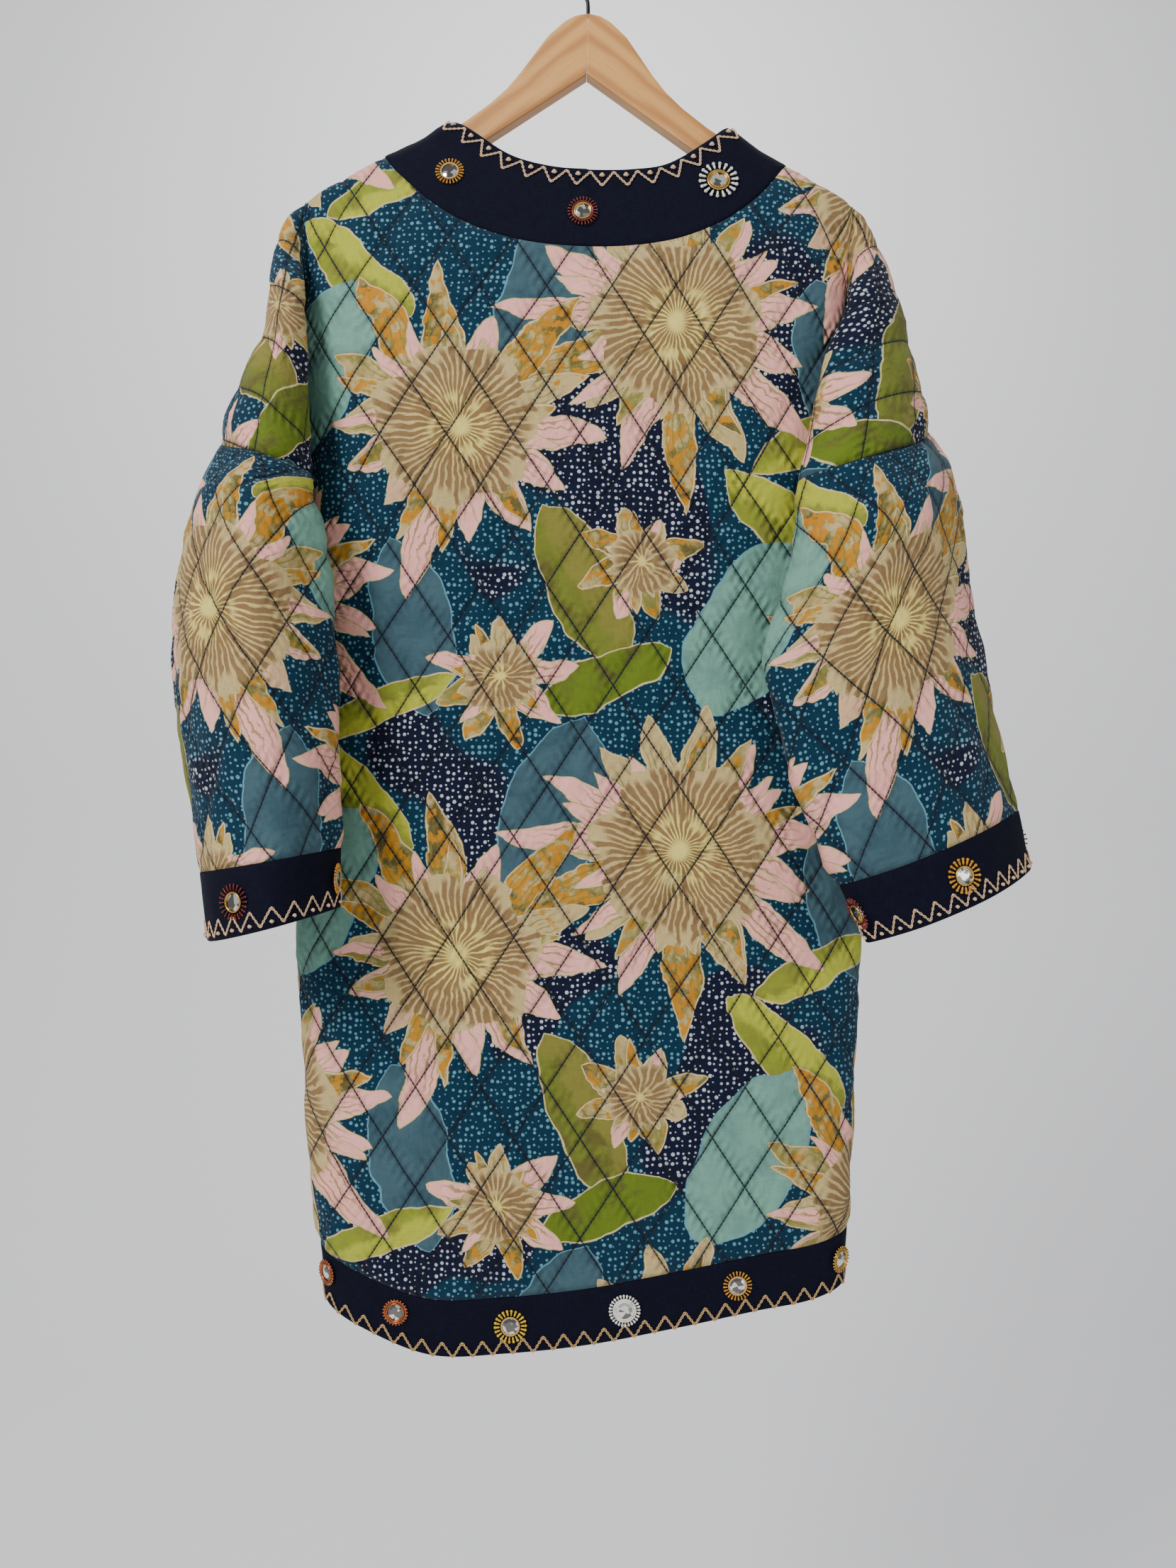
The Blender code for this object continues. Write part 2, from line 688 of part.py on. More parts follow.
def neck_fractions():
    """Places along the neck band, closer together where it turns over the shoulder."""
    whole = length_of(along(body_frame(NECK_SEAM["rows"])))
    ends = np.array([0, 5, 14, 30]) / whole
    middle = np.linspace(ends[-1], 1 - ends[-1], 15)[1:-1]
    return np.concatenate([ends, middle, 1 - ends[::-1]])


def ring(side):
    """The sleeve seam in place, columns from the underarm over the back to the shoulder line and round."""
    sign = -1 if side == "left" else 1
    back = np.linspace(0, 1, SLEEVE_BACK_COLUMNS + 1)
    front = np.linspace(1, 0, SLEEVE_FRONT_COLUMNS + 1)[1:-1]
    points = np.concatenate([
        arm_point(side, "back", seam_down(side, back), back),
        arm_point(side, "front", seam_down(side, front), front),
    ])
    points[:, 0] *= sign
    return points


def sleeve_rows(side):
    """The sleeve's sections at the table's fractions, each with the seam's columns."""
    sign = -1 if side == "left" else 1
    fractions, rows = [0.0], [ring(side)]
    for fraction, inner_z, outer_z in SLEEVE_HEIGHTS[side]:
        loop = np.array(SLEEVES[side][fraction], float)
        inner_x, outer_x = loop[SLEEVE_POINTS.index("inner")][0], loop[SLEEVE_POINTS.index("edge")][0]
        closed = np.concatenate([loop[-2:], loop, loop[:3]])
        line = along(closed, 24)
        marks = [int(np.argmin(np.linalg.norm(line - loop[k], axis=1))) for k in (0, 5)]
        start, turn = marks
        finish = turn + 1 + int(np.argmin(np.linalg.norm(line[turn + 1:] - loop[0], axis=1)))
        back = by_length(line[start:turn + 1], np.linspace(0, 1, SLEEVE_BACK_COLUMNS + 1))
        front = by_length(line[turn:finish + 1], np.linspace(0, 1, SLEEVE_FRONT_COLUMNS + 1))[1:-1]
        section = np.concatenate([back, front])
        z = inner_z + (outer_z - inner_z) * (section[:, 0] - inner_x) / (outer_x - inner_x)
        rows.append(np.column_stack([section[:, 0] * sign, section[:, 1], z]))
        fractions.append(fraction)
    return np.array(fractions), np.array(rows)


def sleeve_grid(side, at):
    """The sleeve's points at fractions of its length, as (rows, columns, xyz)."""
    fractions, rows = sleeve_rows(side)
    count = rows.shape[1]
    return np.stack(
        [np.stack([hermite(at, fractions, rows[:, c, k]) for k in range(3)], axis=1) for c in range(count)],
        axis=1,
    )


def tube_faces(rows, columns, flip):
    """Triangles round a tube, split along the quilting lines."""
    faces = []
    for i in range(rows - 1):
        for j in range(columns):
            a, b = i * columns + j, i * columns + (j + 1) % columns
            c, d = a + columns, b + columns
            pair = [(a, c, d), (a, d, b)] if (i + j) % 2 == 0 else [(a, c, b), (b, c, d)]
            faces += [f[::-1] if flip else f for f in pair]
    return faces


def strip_faces(rows, columns, flip=False):
    """Triangles of an open grid."""
    faces = []
    for i in range(rows - 1):
        for j in range(columns - 1):
            a, b = i * columns + j, i * columns + j + 1
            c, d = a + columns, b + columns
            pair = [(a, b, d), (a, d, c)]
            faces += [f[::-1] if flip else f for f in pair]
    return faces


def seam_outward(side):
    """The wall's level direction at each column of the sleeve's seam."""
    seam = ring(side)
    tangent = np.roll(seam, -1, axis=0) - np.roll(seam, 1, axis=0)
    out = np.cross(tangent, (0, 0, 1))
    out /= np.linalg.norm(out, axis=1)[:, None]
    middle = seam.mean(axis=0)
    if np.mean(np.einsum("ij,ij->i", out, seam - middle)) < 0:
        out = -out
    return out


def panel_wall(name, entries, face, extra, finish):
    """A panel from its outline's entries."""
    outline = np.array([entry[0] for entry in entries])
    flat, faces, raised = quilted(outline, extra, plain=lambda spot: hidden_fold(face, spot))
    points = place(face, flat)
    if face == "front":
        faces = faces[:, ::-1]
    fixed, square = {}, []
    outward = {side: seam_outward(side) for side in ("left", "right")}
    for point, kind, share in entries:
        k = int(np.argmin(np.linalg.norm(flat - point, axis=1)))
        side = "left" if point[0] < 0 else "right"
        if kind == "underarm":
            fixed[k] = np.array([0.0, 0.0, -1.0])
        if kind in ("sleeve", "top"):
            if face == "back":
                at = round(share * SLEEVE_BACK_COLUMNS)
            else:
                at = round(SLEEVE_BACK_COLUMNS + (1 - share) * SLEEVE_FRONT_COLUMNS) % len(outward[side])
            fixed[k] = outward[side][at]
        if kind in ("neck", "band", "hem", "hem side"):
            fixed[k] = place_normal(face, point)[0]
        if kind in ("side", "shoulder", "shoulder band", "hem side"):
            square.append((k, (0, 1, 0)))
        if kind in ("hem", "hem side"):
            square.append((k, (0, 0, 1)))
    return wall(name, points, faces, CLOTH, finish, raised, fixed, square, face)


def hidden_fold(face, spot):
    """Whether a quilting point lies in the crease beside the arm, where the cloth is left plain."""
    side = "left" if spot[0] < 0 else "right"
    flat = np.array([abs(spot[0]), spot[1]])
    crease, line = arm_angles(side, face)
    away = flat - tip_flat(side)
    down = float(np.linalg.norm(away))
    angle = math.atan2(-away[1], away[0])
    share = (crease - angle) / (crease - line)
    near_side = flat[0] > float(half_at(side, flat[1])) - FOLD_WIDE
    near_side = near_side and flat[1] > underarm_flat(side)[1] - FOLD_TALL
    return (-0.2 < share < 0.3 and down < UNDERARM_DOWN[side] + 20) or near_side and face == "back"


def hem_corner(sign):
    """The side seam's place at the hem seam, as signed u."""
    side = "left" if sign < 0 else "right"
    return sign * float(half_at(side, hem_seam_height(sign)))


def hem_places(start, stop):
    """Places along the hem seam, shared by the panel above it and the band below."""
    return np.linspace(start, stop, max(2, round(abs(stop - start) / EDGE_STEP)) + 1)


def hem_entries(places):
    """A panel's points on the hem seam."""
    return [(np.array([u, float(hem_at(u / ROUND_GAIN)) + HEM_BAND]), "hem", None) for u in places]


def shoulder_extra(face):
    """Lines just under the ridge, where the cloth turns over the hanger, and beside the shoulder line."""
    lines = []
    for side, sign in (("left", -1), ("right", 1)):
        for down, inset in ((5.0, 4.0), (14.0, 9.0)):
            x = np.linspace(band_corner(side) + inset, TIP[side][0] - 3 - down, 3)
            z = ridge_at(side, x) - down
            lines.append(np.stack([sign * flat_u(side, x, z), z], axis=1))
        down = np.linspace(30, SHOULDER_DOWN[side] - 12, 7)
        lines.append(arm_flat(side, face, down, 0.93) * (sign, 1))
        down = np.linspace(24, UNDERARM_DOWN[side] - 14, 9)
        lines.append(arm_flat(side, face, down, 0.0) * (sign, 1))
    return lines


def build_back(finish):
    fractions = neck_fractions()
    seam, _ = neck_lines(fractions)
    entries = hem_entries(hem_places(hem_corner(-1), hem_corner(1))[1:-1])
    entries += half_outline(1, "back")
    entries += [(point, "neck", None) for point in seam[::-1][1:-1]]
    entries += half_outline(-1, "back")[::-1]
    return panel_wall("back", entries, "back", shoulder_extra("back"), finish)


def front_rows():
    """Places along a front band, closer together where it turns over the shoulder."""
    whole = length_of(along(FRONT_SEAM["rows"]))
    ends = np.array([0, 5, 14, 32]) / whole
    return np.concatenate([ends, np.linspace(ends[-1], 1, round(whole / 34))[1:]])


def front_lines(sign):
    """A front band's seam and free edge in the flat pattern, from the shoulder down."""
    side = "left" if sign < 0 else "right"
    lines = []
    for table in (FRONT_SEAM, FRONT_EDGE):
        rows = [list(row) for row in table["rows"]]
        rows[-1][1] = float(hem_at(sign * rows[-1][0] / ROUND_GAIN)) + HEM_BAND
        x = band_corner(side) if table is FRONT_SEAM else abs(NECK_EDGE["rows"][0 if sign < 0 else -1][0])
        rows[0] = [float(flat_u(side, x, ridge_at(side, x))), float(ridge_at(side, x))]
        lines.append(by_length(along(rows), front_rows()) * (sign, 1))
    return lines


def build_front(sign, finish):
    side = "left" if sign < 0 else "right"
    seam, _ = front_lines(sign)
    entries = hem_entries(hem_places(seam[-1][0], hem_corner(sign))[1:-1]) + half_outline(sign, "front")
    entries += [(point, "band", None) for point in seam[1:-1]]
    entries.append((seam[-1], "hem band", None))
    if sign < 0:
        entries = entries[::-1]
    extra = [line for line in shoulder_extra("front") if line[0][0] * sign > 0]
    return panel_wall("front_" + side, entries, "front", extra, finish)


def grid_wall(name, lines, face, thickness, finish, flip, square_ends=None, square_rows=None):
    """A band between lines of flat points: lines is (rows, columns, 2)."""
    lines = np.asarray(lines, float)
    rows, columns = lines.shape[:2]
    flat = lines.reshape(-1, 2)
    points = place(face, flat)
    normals = place_normal(face, flat)
    fixed = {k: normals[k] for k in range(len(flat))}
    square = []
    for j in square_ends or ():
        square += [(i * columns + j % columns, (0, 1, 0)) for i in range(rows)]
    for i in square_rows or ():
        square += [((i % rows) * columns + j, (0, 0, 1)) for j in range(columns)]
    return wall(name, points, strip_faces(rows, columns, flip), thickness, finish, None, fixed, square, face)


def gap_from(line, other, gap=SEAM):
    """The first line moved a seam's gap towards the other."""
    way = other - line
    return line + way * (gap / np.linalg.norm(way, axis=1))[:, None]


def build_neck_band(finish):
    seam, edge = neck_lines(neck_fractions())
    start = gap_from(seam, edge)
    lines = [start + (edge - start) * k / 3 for k in range(4)]
    return grid_wall("neck_band", lines, "back", BAND, finish, False, square_ends=(0, -1))


def build_front_band(sign, finish):
    side = "left" if sign < 0 else "right"
    seam, edge = front_lines(sign)
    start = gap_from(seam, edge)
    lines = np.array([start + (edge - start) * k / 2 for k in range(3)])
    lines = lines.transpose(1, 0, 2)
    return grid_wall(
        "front_band_" + side, lines, "front", BAND, finish, sign > 0, square_rows=(-1,), square_ends=None
    )


def hem_grid(u):
    """The hem band's flat grid, from the free edge up to its seam."""
    x = u / ROUND_GAIN
    bottom = hem_at(x)
    top = bottom + HEM_BAND - SEAM
    return np.stack([np.stack([u, bottom + (top - bottom) * k / 2], axis=1) for k in range(3)])


def stretch_to_sides(lines, low_side, high_side):
    """The hem band's ends follow the side seams."""
    lines = lines.copy()
    for row in lines:
        z_low, z_high = row[0][1], row[-1][1]
        low = -float(half_at("left", z_low)) if low_side else row[0][0]
        high = float(half_at("right", z_high)) if high_side else row[-1][0]
        share = (row[:, 0] - row[0][0]) / (row[-1][0] - row[0][0])
        row[:, 0] = low + (high - low) * share
    return lines


def build_hem_bands(finish):
    low, high = hem_corner(-1), hem_corner(1)
    inner, seam = FRONT_EDGE["rows"][-1][0], FRONT_SEAM["rows"][-1][0]
    under_band = np.linspace(inner, seam, 3)[:-1]
    for name, face, places in (
        ("hem_band_back", "back", hem_places(low, high)),
        ("hem_band_front_left", "front", np.concatenate([hem_places(low, -seam), -under_band[::-1]])),
        ("hem_band_front_right", "front", np.concatenate([under_band, hem_places(seam, high)])),
    ):
        at_left, at_right = places[0] == low, places[-1] == high
        lines = stretch_to_sides(hem_grid(places), at_left, at_right)
        ends = [0] if at_left else []
        ends += [-1] if at_right else []
        flip = face == "front"
        grid_wall(name, lines, face, BAND, finish, flip, square_ends=ends, square_rows=(-1,))


def build_sleeve(side, quilt, band):
    """A sleeve's tube and its cuff. Returns the cuff's points."""
    at = np.linspace(0, CUFF_FROM, SLEEVE_ROWS + 1)
    grid = sleeve_grid(side, at)
    outward = seam_outward(side)
    grid[0, :, 2] -= SEAM
    grid[0, (-1, 0, 1), 0] += (-1 if side == "left" else 1) * UNDERARM_EASE
    rows, columns = grid.shape[:2]
    raised = np.zeros((rows, columns))
    for i in range(1, rows - 1):
        for j in range(columns):
            facing = 2 <= j <= SLEEVE_BACK_COLUMNS + 2
            raised[i, j] = PUFF if (i + j) % 2 and facing else 0
    flip = side == "left"
    fixed = {j: outward[j] for j in range(columns)}
    ends = sleeve_grid(side, np.array([CUFF_FROM - 0.02, CUFF_FROM + 0.02]))
    way = ends[1] - ends[0]
    way /= np.linalg.norm(way, axis=1)[:, None]
    square = [((rows - 1) * columns + j, way[j]) for j in range(columns)]
    name = "sleeve_" + side
    faces = tube_faces(rows, columns, flip)
    wall(name, grid.reshape(-1, 3), faces, CLOTH, quilt, raised.ravel(), fixed, square)
    cuff = sleeve_grid(side, np.linspace(CUFF_FROM, 1, 3))
    cuff[0] += way * SEAM
    square = [(j, way[j]) for j in range(columns)]
    faces = tube_faces(3, columns, flip)
    wall("cuff_" + side, cuff.reshape(-1, 3), faces, BAND, band, None, None, square)
    return cuff


def build_mirror(name, centre, normal, finish):
    """A low round mirror with its worked rim, lying on the cloth."""
    mesh = bpy.data.meshes.new(name)
    shape = bmesh.new()
    bmesh.ops.create_cone(
        shape, cap_ends=True, segments=12, radius1=MIRROR_WIDE / 2, radius2=MIRROR_WIDE * 0.36,
        depth=MIRROR_TALL,
    )
    bmesh.ops.translate(shape, verts=shape.verts, vec=(0, 0, MIRROR_TALL / 2 + SEAM))
    turn = Vector((0, 0, 1)).rotation_difference(Vector(normal)).to_matrix().to_4x4()
    bmesh.ops.transform(shape, verts=shape.verts, matrix=Matrix.Translation(Vector(centre)) @ turn)
    bmesh.ops.scale(shape, verts=shape.verts, vec=(0.001, 0.001, 0.001))
    shape.to_mesh(mesh)
    shape.free()
    mesh.materials.append(finish)
    made = bpy.data.objects.new(name, mesh)
    bpy.context.scene.collection.objects.link(made)


def band_mirror(name, face, flat, finish):
    """A mirror at a place of the flat pattern."""
    build_mirror(name, place(face, flat)[0], place_normal(face, flat)[0], finish)


def build_mirrors(finish, cuffs):
    """The mirrors on the neck, front, hem and cuff bands."""
    for k, spot in enumerate(NECK_MIRRORS):
        band_mirror(f"mirror_neck_{k + 1}", "back", body_frame([spot]), finish)
    low, high = hem_corner(-1), hem_corner(1)
    places = hem_places(low, high)
    for k, x in enumerate(BACK_HEM_MIRRORS):
        flat = body_frame([(x, float(hem_at(x)) + HEM_BAND / 2)])
        if abs(x) > 150:
            flat[0, 0] = places[np.argmin(np.abs(places - flat[0, 0]))]
        band_mirror(f"mirror_hem_{k + 1}", "back", flat, finish)
    front_places = [low * share for share in FRONT_HEM_MIRRORS]
    front_places += [high * share for share in FRONT_HEM_MIRRORS[::-1]]
    for k, u in enumerate(front_places):
        flat = np.array([[u, float(hem_at(u / ROUND_GAIN)) + HEM_BAND / 2]])
        band_mirror(f"mirror_hem_{k + 1 + len(BACK_HEM_MIRRORS)}", "front", flat, finish)
    for side, sign in (("left", -1), ("right", 1)):
        seam, edge = front_lines(sign)
        middle = along((seam + edge) / 2, 6)
        for k in range(FRONT_BAND_MIRRORS):
            flat = by_length(middle, [(k + 0.6) / FRONT_BAND_MIRRORS])
            band_mirror(f"mirror_front_{side}_{k + 1}", "front", flat, finish)
    for side, cuff in cuffs.items():
        count = cuff.shape[1]
        for k in range(CUFF_MIRRORS):
            j = round((k + 0.5) * count / CUFF_MIRRORS) % count
            tangent = cuff[1, (j + 1) % count] - cuff[1, j - 1]
            down = cuff[2, j] - cuff[0, j]
            normal = np.cross(tangent, down)
            normal /= np.linalg.norm(normal)
            if normal @ (cuff[1, j] - cuff[1].mean(axis=0)) < 0:
                normal = -normal
            build_mirror(f"mirror_cuff_{side}_{k + 1}", cuff[1, j], normal, finish)


def build_hanger(finish):
    """The two mitred halves, tilted a little as the coat hangs."""
    for side, sign in (("left", -1), ("right", 1)):
        shape = bmesh.new()
        outline = [(sign * x, z) for x, z in HANGER_HALF]
        verts = [shape.verts.new((x, -WOOD_THICK / 2, z)) for x, z in outline]
        face = shape.faces.new(verts)
        pushed = bmesh.ops.extrude_face_region(shape, geom=[face])
        moved = [v for v in pushed["geom"] if isinstance(v, bmesh.types.BMVert)]
        bmesh.ops.translate(shape, verts=moved, vec=(0, WOOD_THICK, 0))
        bmesh.ops.recalc_face_normals(shape, faces=shape.faces)
        long_edges = [e for e in shape.edges if abs(e.verts[0].co.y - e.verts[1].co.y) < 0.01]
        kept = [e for e in long_edges if max(abs(v.co.x) for v in e.verts) > 1]
        bmesh.ops.bevel(shape, geom=kept, offset=2.6, segments=2, affect="EDGES", profile=0.6)
        tilt = Matrix.Rotation(HANGER_TILT, 3, "Y")
        bmesh.ops.rotate(shape, verts=shape.verts, cent=(0, 0, WOOD_TOP), matrix=tilt)
        bmesh.ops.scale(shape, verts=shape.verts, vec=(0.001, 0.001, 0.001))
        mesh = bpy.data.meshes.new("hanger_" + side)
        shape.to_mesh(mesh)
        shape.free()
        mesh.materials.append(finish)
        bpy.context.scene.collection.objects.link(bpy.data.objects.new("hanger_" + side, mesh))


def build_hook(finish):
    """The wire hook: its inside top is the origin."""
    centre_z = -HOOK_RADIUS
    reach = HOOK_RADIUS + WIRE / 2
    turn = np.radians(np.linspace(-35, 235, 28))
    arc = np.stack([reach * np.cos(turn), centre_z + reach * np.sin(turn)], axis=1)
    low = arc[-1]
    stem = [(low[0] + 7, low[1] - 4.5), (-1.2, low[1] - 9), (0, low[1] - 13.5), (0, WOOD_TOP + SEAM)]
    line = along(np.concatenate([arc, stem]), 4)
    curve = bpy.data.curves.new("hook", "CURVE")
    curve.dimensions = "3D"
    curve.bevel_depth = WIRE / 2 * 0.001
    curve.bevel_resolution = 2
    curve.use_fill_caps = True
    spline = curve.splines.new("POLY")
    keep = by_length(line, np.linspace(0, 1, 44))
    spline.points.add(len(keep) - 1)
    for point, (x, z) in zip(spline.points, keep):
        point.co = (x * 0.001, 0, z * 0.001, 1)
    curve.materials.append(finish)
    bpy.context.scene.collection.objects.link(bpy.data.objects.new("hook", curve))


def main():
    for old in list(bpy.data.objects):
        bpy.data.objects.remove(old)
    quilt = material("quilted_cloth", COLOURS["quilt"], 0.9)
    band = material("band_cloth", COLOURS["band"], 0.85)
    wood = material("wood", COLOURS["wood"], 0.45)
    wire = material("black_wire", COLOURS["wire"], 0.35, 1.0)
    mirror = material("mirror", COLOURS["mirror"], 0.15, 1.0)
    build_back(quilt)
    build_neck_band(band)
    for sign in (-1, 1):
        build_front(sign, quilt)
        build_front_band(sign, band)
    build_hem_bands(band)
    cuffs = {side: build_sleeve(side, quilt, band) for side in ("left", "right")}
    build_mirrors(mirror, cuffs)
    build_hanger(wood)
    build_hook(wire)


main()
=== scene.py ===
"""The looks of the quilted coat on its wooden hanger, as a lesson in cells."""

# %% [markdown]
# # A quilted coat on a hanger
# The coat is open-fronted, quilted in diamonds and bound with dark bands, and it hangs with its back to us.
# The solids of the coat come first, as the frame. This file lays the finer cloth, the print, the stitches,
# the mirrors and the beads over them, in the same place and size.

# %% The frame
import math

import bpy
import numpy as np
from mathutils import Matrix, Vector
from mathutils.geometry import delaunay_2d_cdt


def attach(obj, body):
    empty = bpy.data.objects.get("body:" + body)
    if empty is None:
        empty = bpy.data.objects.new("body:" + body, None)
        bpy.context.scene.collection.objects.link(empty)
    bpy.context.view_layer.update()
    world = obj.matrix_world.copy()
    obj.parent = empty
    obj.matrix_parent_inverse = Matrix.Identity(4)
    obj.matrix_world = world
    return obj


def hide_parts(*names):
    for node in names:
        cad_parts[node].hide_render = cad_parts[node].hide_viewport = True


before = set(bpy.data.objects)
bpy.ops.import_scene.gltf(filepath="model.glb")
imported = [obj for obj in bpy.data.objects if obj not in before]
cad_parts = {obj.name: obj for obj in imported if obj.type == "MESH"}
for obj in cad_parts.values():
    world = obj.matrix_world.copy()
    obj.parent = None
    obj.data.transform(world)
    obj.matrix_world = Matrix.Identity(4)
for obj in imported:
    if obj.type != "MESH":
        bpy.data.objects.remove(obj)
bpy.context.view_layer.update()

print("the frame has", len(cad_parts), "nodes")

# %% [markdown]
# # The coat's own numbers
# A coat is cut from flat patterns, so its form is given by a few lines: how far each side reaches at a
# height, how the shoulders fall over the hanger, and where the neck, the hem and the fronts run. All are in
# millimetres, with x to our right and z up, from the point where the hook hangs.

# %% Driving sizes
QUILT_WIDE = 50.0
QUILT_TALL = 76.0
QUILT_SHIFT = (-6.0, -21.0)
SEAM = 0.3
HEM_BAND = 43.0
HALF_WIDE = 215.0
BACK_DEPTH = 45.0
FRONT_DEPTH = 38.0
EDGE_ROUND = 3.0
CREASE_POWER = 8.0
CREASE_BLEND = 40.0
RIDGE_ROUND = 13.0
CUFF_FROM = 0.87
SLEEVE_BACK_COLUMNS = 8
SLEEVE_FRONT_COLUMNS = 6
EDGE_STEP = 24.0
# How fast the body fills out below the ridge, how far the shoulder line sags, and how the seam bends
DEPTH_FALL = 70.0
SHOULDER_SAG = 0.055
SEAM_BEND = 1.5
FLOOR = -1.9
SIGNS = {"left": -1, "right": 1}
print("diamonds are", QUILT_WIDE, "by", QUILT_TALL, "mm")

# %% Lines of the body
SIDES = {
    "columns": ("z", "left", "right"),
    "rows": (
        (-208, 222, 207.5),
        (-300, 222, 200),
        (-350, 222, 199),
        (-400, 219, 200),
        (-450, 216, 205),
        (-500, 218, 208),
        (-600, 222, 211),
        (-700, 226, 213),
        (-800, 228, 213),
        (-860, 224, 210),
        (-920, 221, 207.5),
        (-980, 215, 205),
        (-1030, 209, 202),
        (-1110, 203, 197),
    ),
}
RIDGE = {
    "columns": ("x", "left_z", "right_z"),
    "rows": (
        (0, -144, -148.5),
        (108, -144.5, -148.5),
        (130, -157, -163),
        (160, -171.5, -181),
        (188, -187, -197),
        (207.5, -198, -210),
        (222, -208, -219),
    ),
}
NECK_EDGE = {
    "columns": ("x", "z"),
    "rows": (
        (-106, -144),
        (-90, -157),
        (-60, -179.7),
        (-30, -189.5),
        (0, -192.3),
        (35, -192),
        (62, -187),
        (94, -165),
        (110, -148.8),
    ),
}
NECK_SEAM = {
    "columns": ("x", "z"),
    "rows": (
        (-161, -172),
        (-148, -192),
        (-109, -228.4),
        (-60, -249.5),
        (0, -256.8),
        (61, -252),
        (103, -236),
        (131, -213.8),
        (157, -179.4),
    ),
}
HEM_EDGE = {
    "columns": ("x", "z"),
    "rows": (
        (-206, -1062),
        (-165, -1080),
        (-112, -1098),
        (-60, -1096),
        (0, -1089),
        (60, -1077),
        (120, -1065),
        (160, -1060),
        (200, -1051),
    ),
}
FRONT_EDGE = {
    "columns": ("u", "z"),
    "rows": ((108, -146), (94, -200), (64, -290), (30, -370), (8, -440), (4, -520), (4, -1014)),
}
FRONT_SEAM = {
    "columns": ("u", "z"),
    "rows": ((158, -176), (150, -225), (124, -312), (90, -395), (69, -460), (64, -540), (64, -1014)),
}
print("the sides are given at", len(SIDES["rows"]), "heights")

# %% Sections of the dropped shoulders
# Each row is one distance down from the shoulder tip, in the arm's own section
ARM_COLUMNS = (
    "down", "return_x", "return_y", "lip_x", "lip_y", "crown_x", "crown_y", "outer_x", "outer_y",
)
ARM_PARTS = ("return", "lip", "crown", "outer")
ARMS = {
    ("left", "back"): (
        (0, 222, 0, 222, 0, 222, 0, 222, 0),
        (12, 222, -12, 225, -13, 229, -12, 232, -8),
        (40, 223, -14, 226, -22, 232, -26, 240, -18),
        (90, 221, -34, 215, -46, 228, -56, 243, -36),
        (140, 219, -42, 210, -54, 228, -74, 251, -50),
        (190, 218, -42, 207, -60, 232, -86, 266, -56),
        (240, 218.5, -42, 204, -64, 238, -92, 276, -60),
    ),
    ("right", "back"): (
        (0, 207.5, 0, 207.5, 0, 207.5, 0, 207.5, 0),
        (12, 207.5, -12, 210, -13, 213, -12, 215, -8),
        (40, 207, -14, 209, -20, 216, -24, 225, -16),
        (90, 200.5, -36, 197, -46, 215, -56, 236, -34),
        (140, 195, -42, 177, -54, 203, -71, 238, -48),
        (190, 198, -36, 165, -58, 196, -79, 242, -54),
        (245, 204, -30, 153, -62, 188, -83, 244, -58),
    ),
    ("left", "front"): (
        (0, 222, 0, 222, 0, 222, 0, 222, 0),
        (12, 222, 12, 225, 13, 229, 12, 232, 8),
        (40, 223, 14, 227, 17, 233, 18, 240, 12),
        (90, 225, 24, 231, 33, 240, 36, 247, 22),
        (140, 226, 28, 234, 42, 247, 46, 259, 28),
        (190, 224, 26, 236, 44, 255, 50, 273, 32),
        (240, 224, 26, 240, 46, 264, 52, 286, 34),
    ),
    ("right", "front"): (
        (0, 207.5, 0, 207.5, 0, 207.5, 0, 207.5, 0),
        (12, 207.5, 12, 210, 13, 213, 12, 215, 8),
        (40, 208, 14, 212, 16, 218, 17, 224, 12),
        (90, 205, 24, 212, 32, 224, 36, 238, 22),
        (140, 206, 28, 216, 42, 232, 45, 248, 28),
        (190, 207, 26, 219, 44, 238, 50, 258, 32),
        (245, 212, 26, 224, 46, 246, 52, 268, 34),
    ),
}
# The shoulder line's reach at a distance down from the tip
ARM_EDGE = {
    "left": (
        (0, 222), (12, 233), (27, 242.5), (60, 247), (98, 251),
        (124, 258.5), (153, 268), (196, 283), (240, 296),
    ),
    "right": ((0, 207.5), (31, 226), (67, 238), (91, 246), (124, 253), (163, 262), (185, 267), (245, 281)),
}
TIP = {"left": (222.0, -208.0), "right": (207.5, -210.0)}
UNDERARM_DOWN = {"left": 235.0, "right": 245.0}
SHOULDER_DOWN = {"left": 196.0, "right": 185.0}
SHOULDER_SLOPE = {"back": math.radians(29), "front": math.radians(51)}
VALLEY_DEPTH = {"left": 15.0, "right": 20.0}
print("the shoulder tips lie at", TIP["left"], "and", TIP["right"])

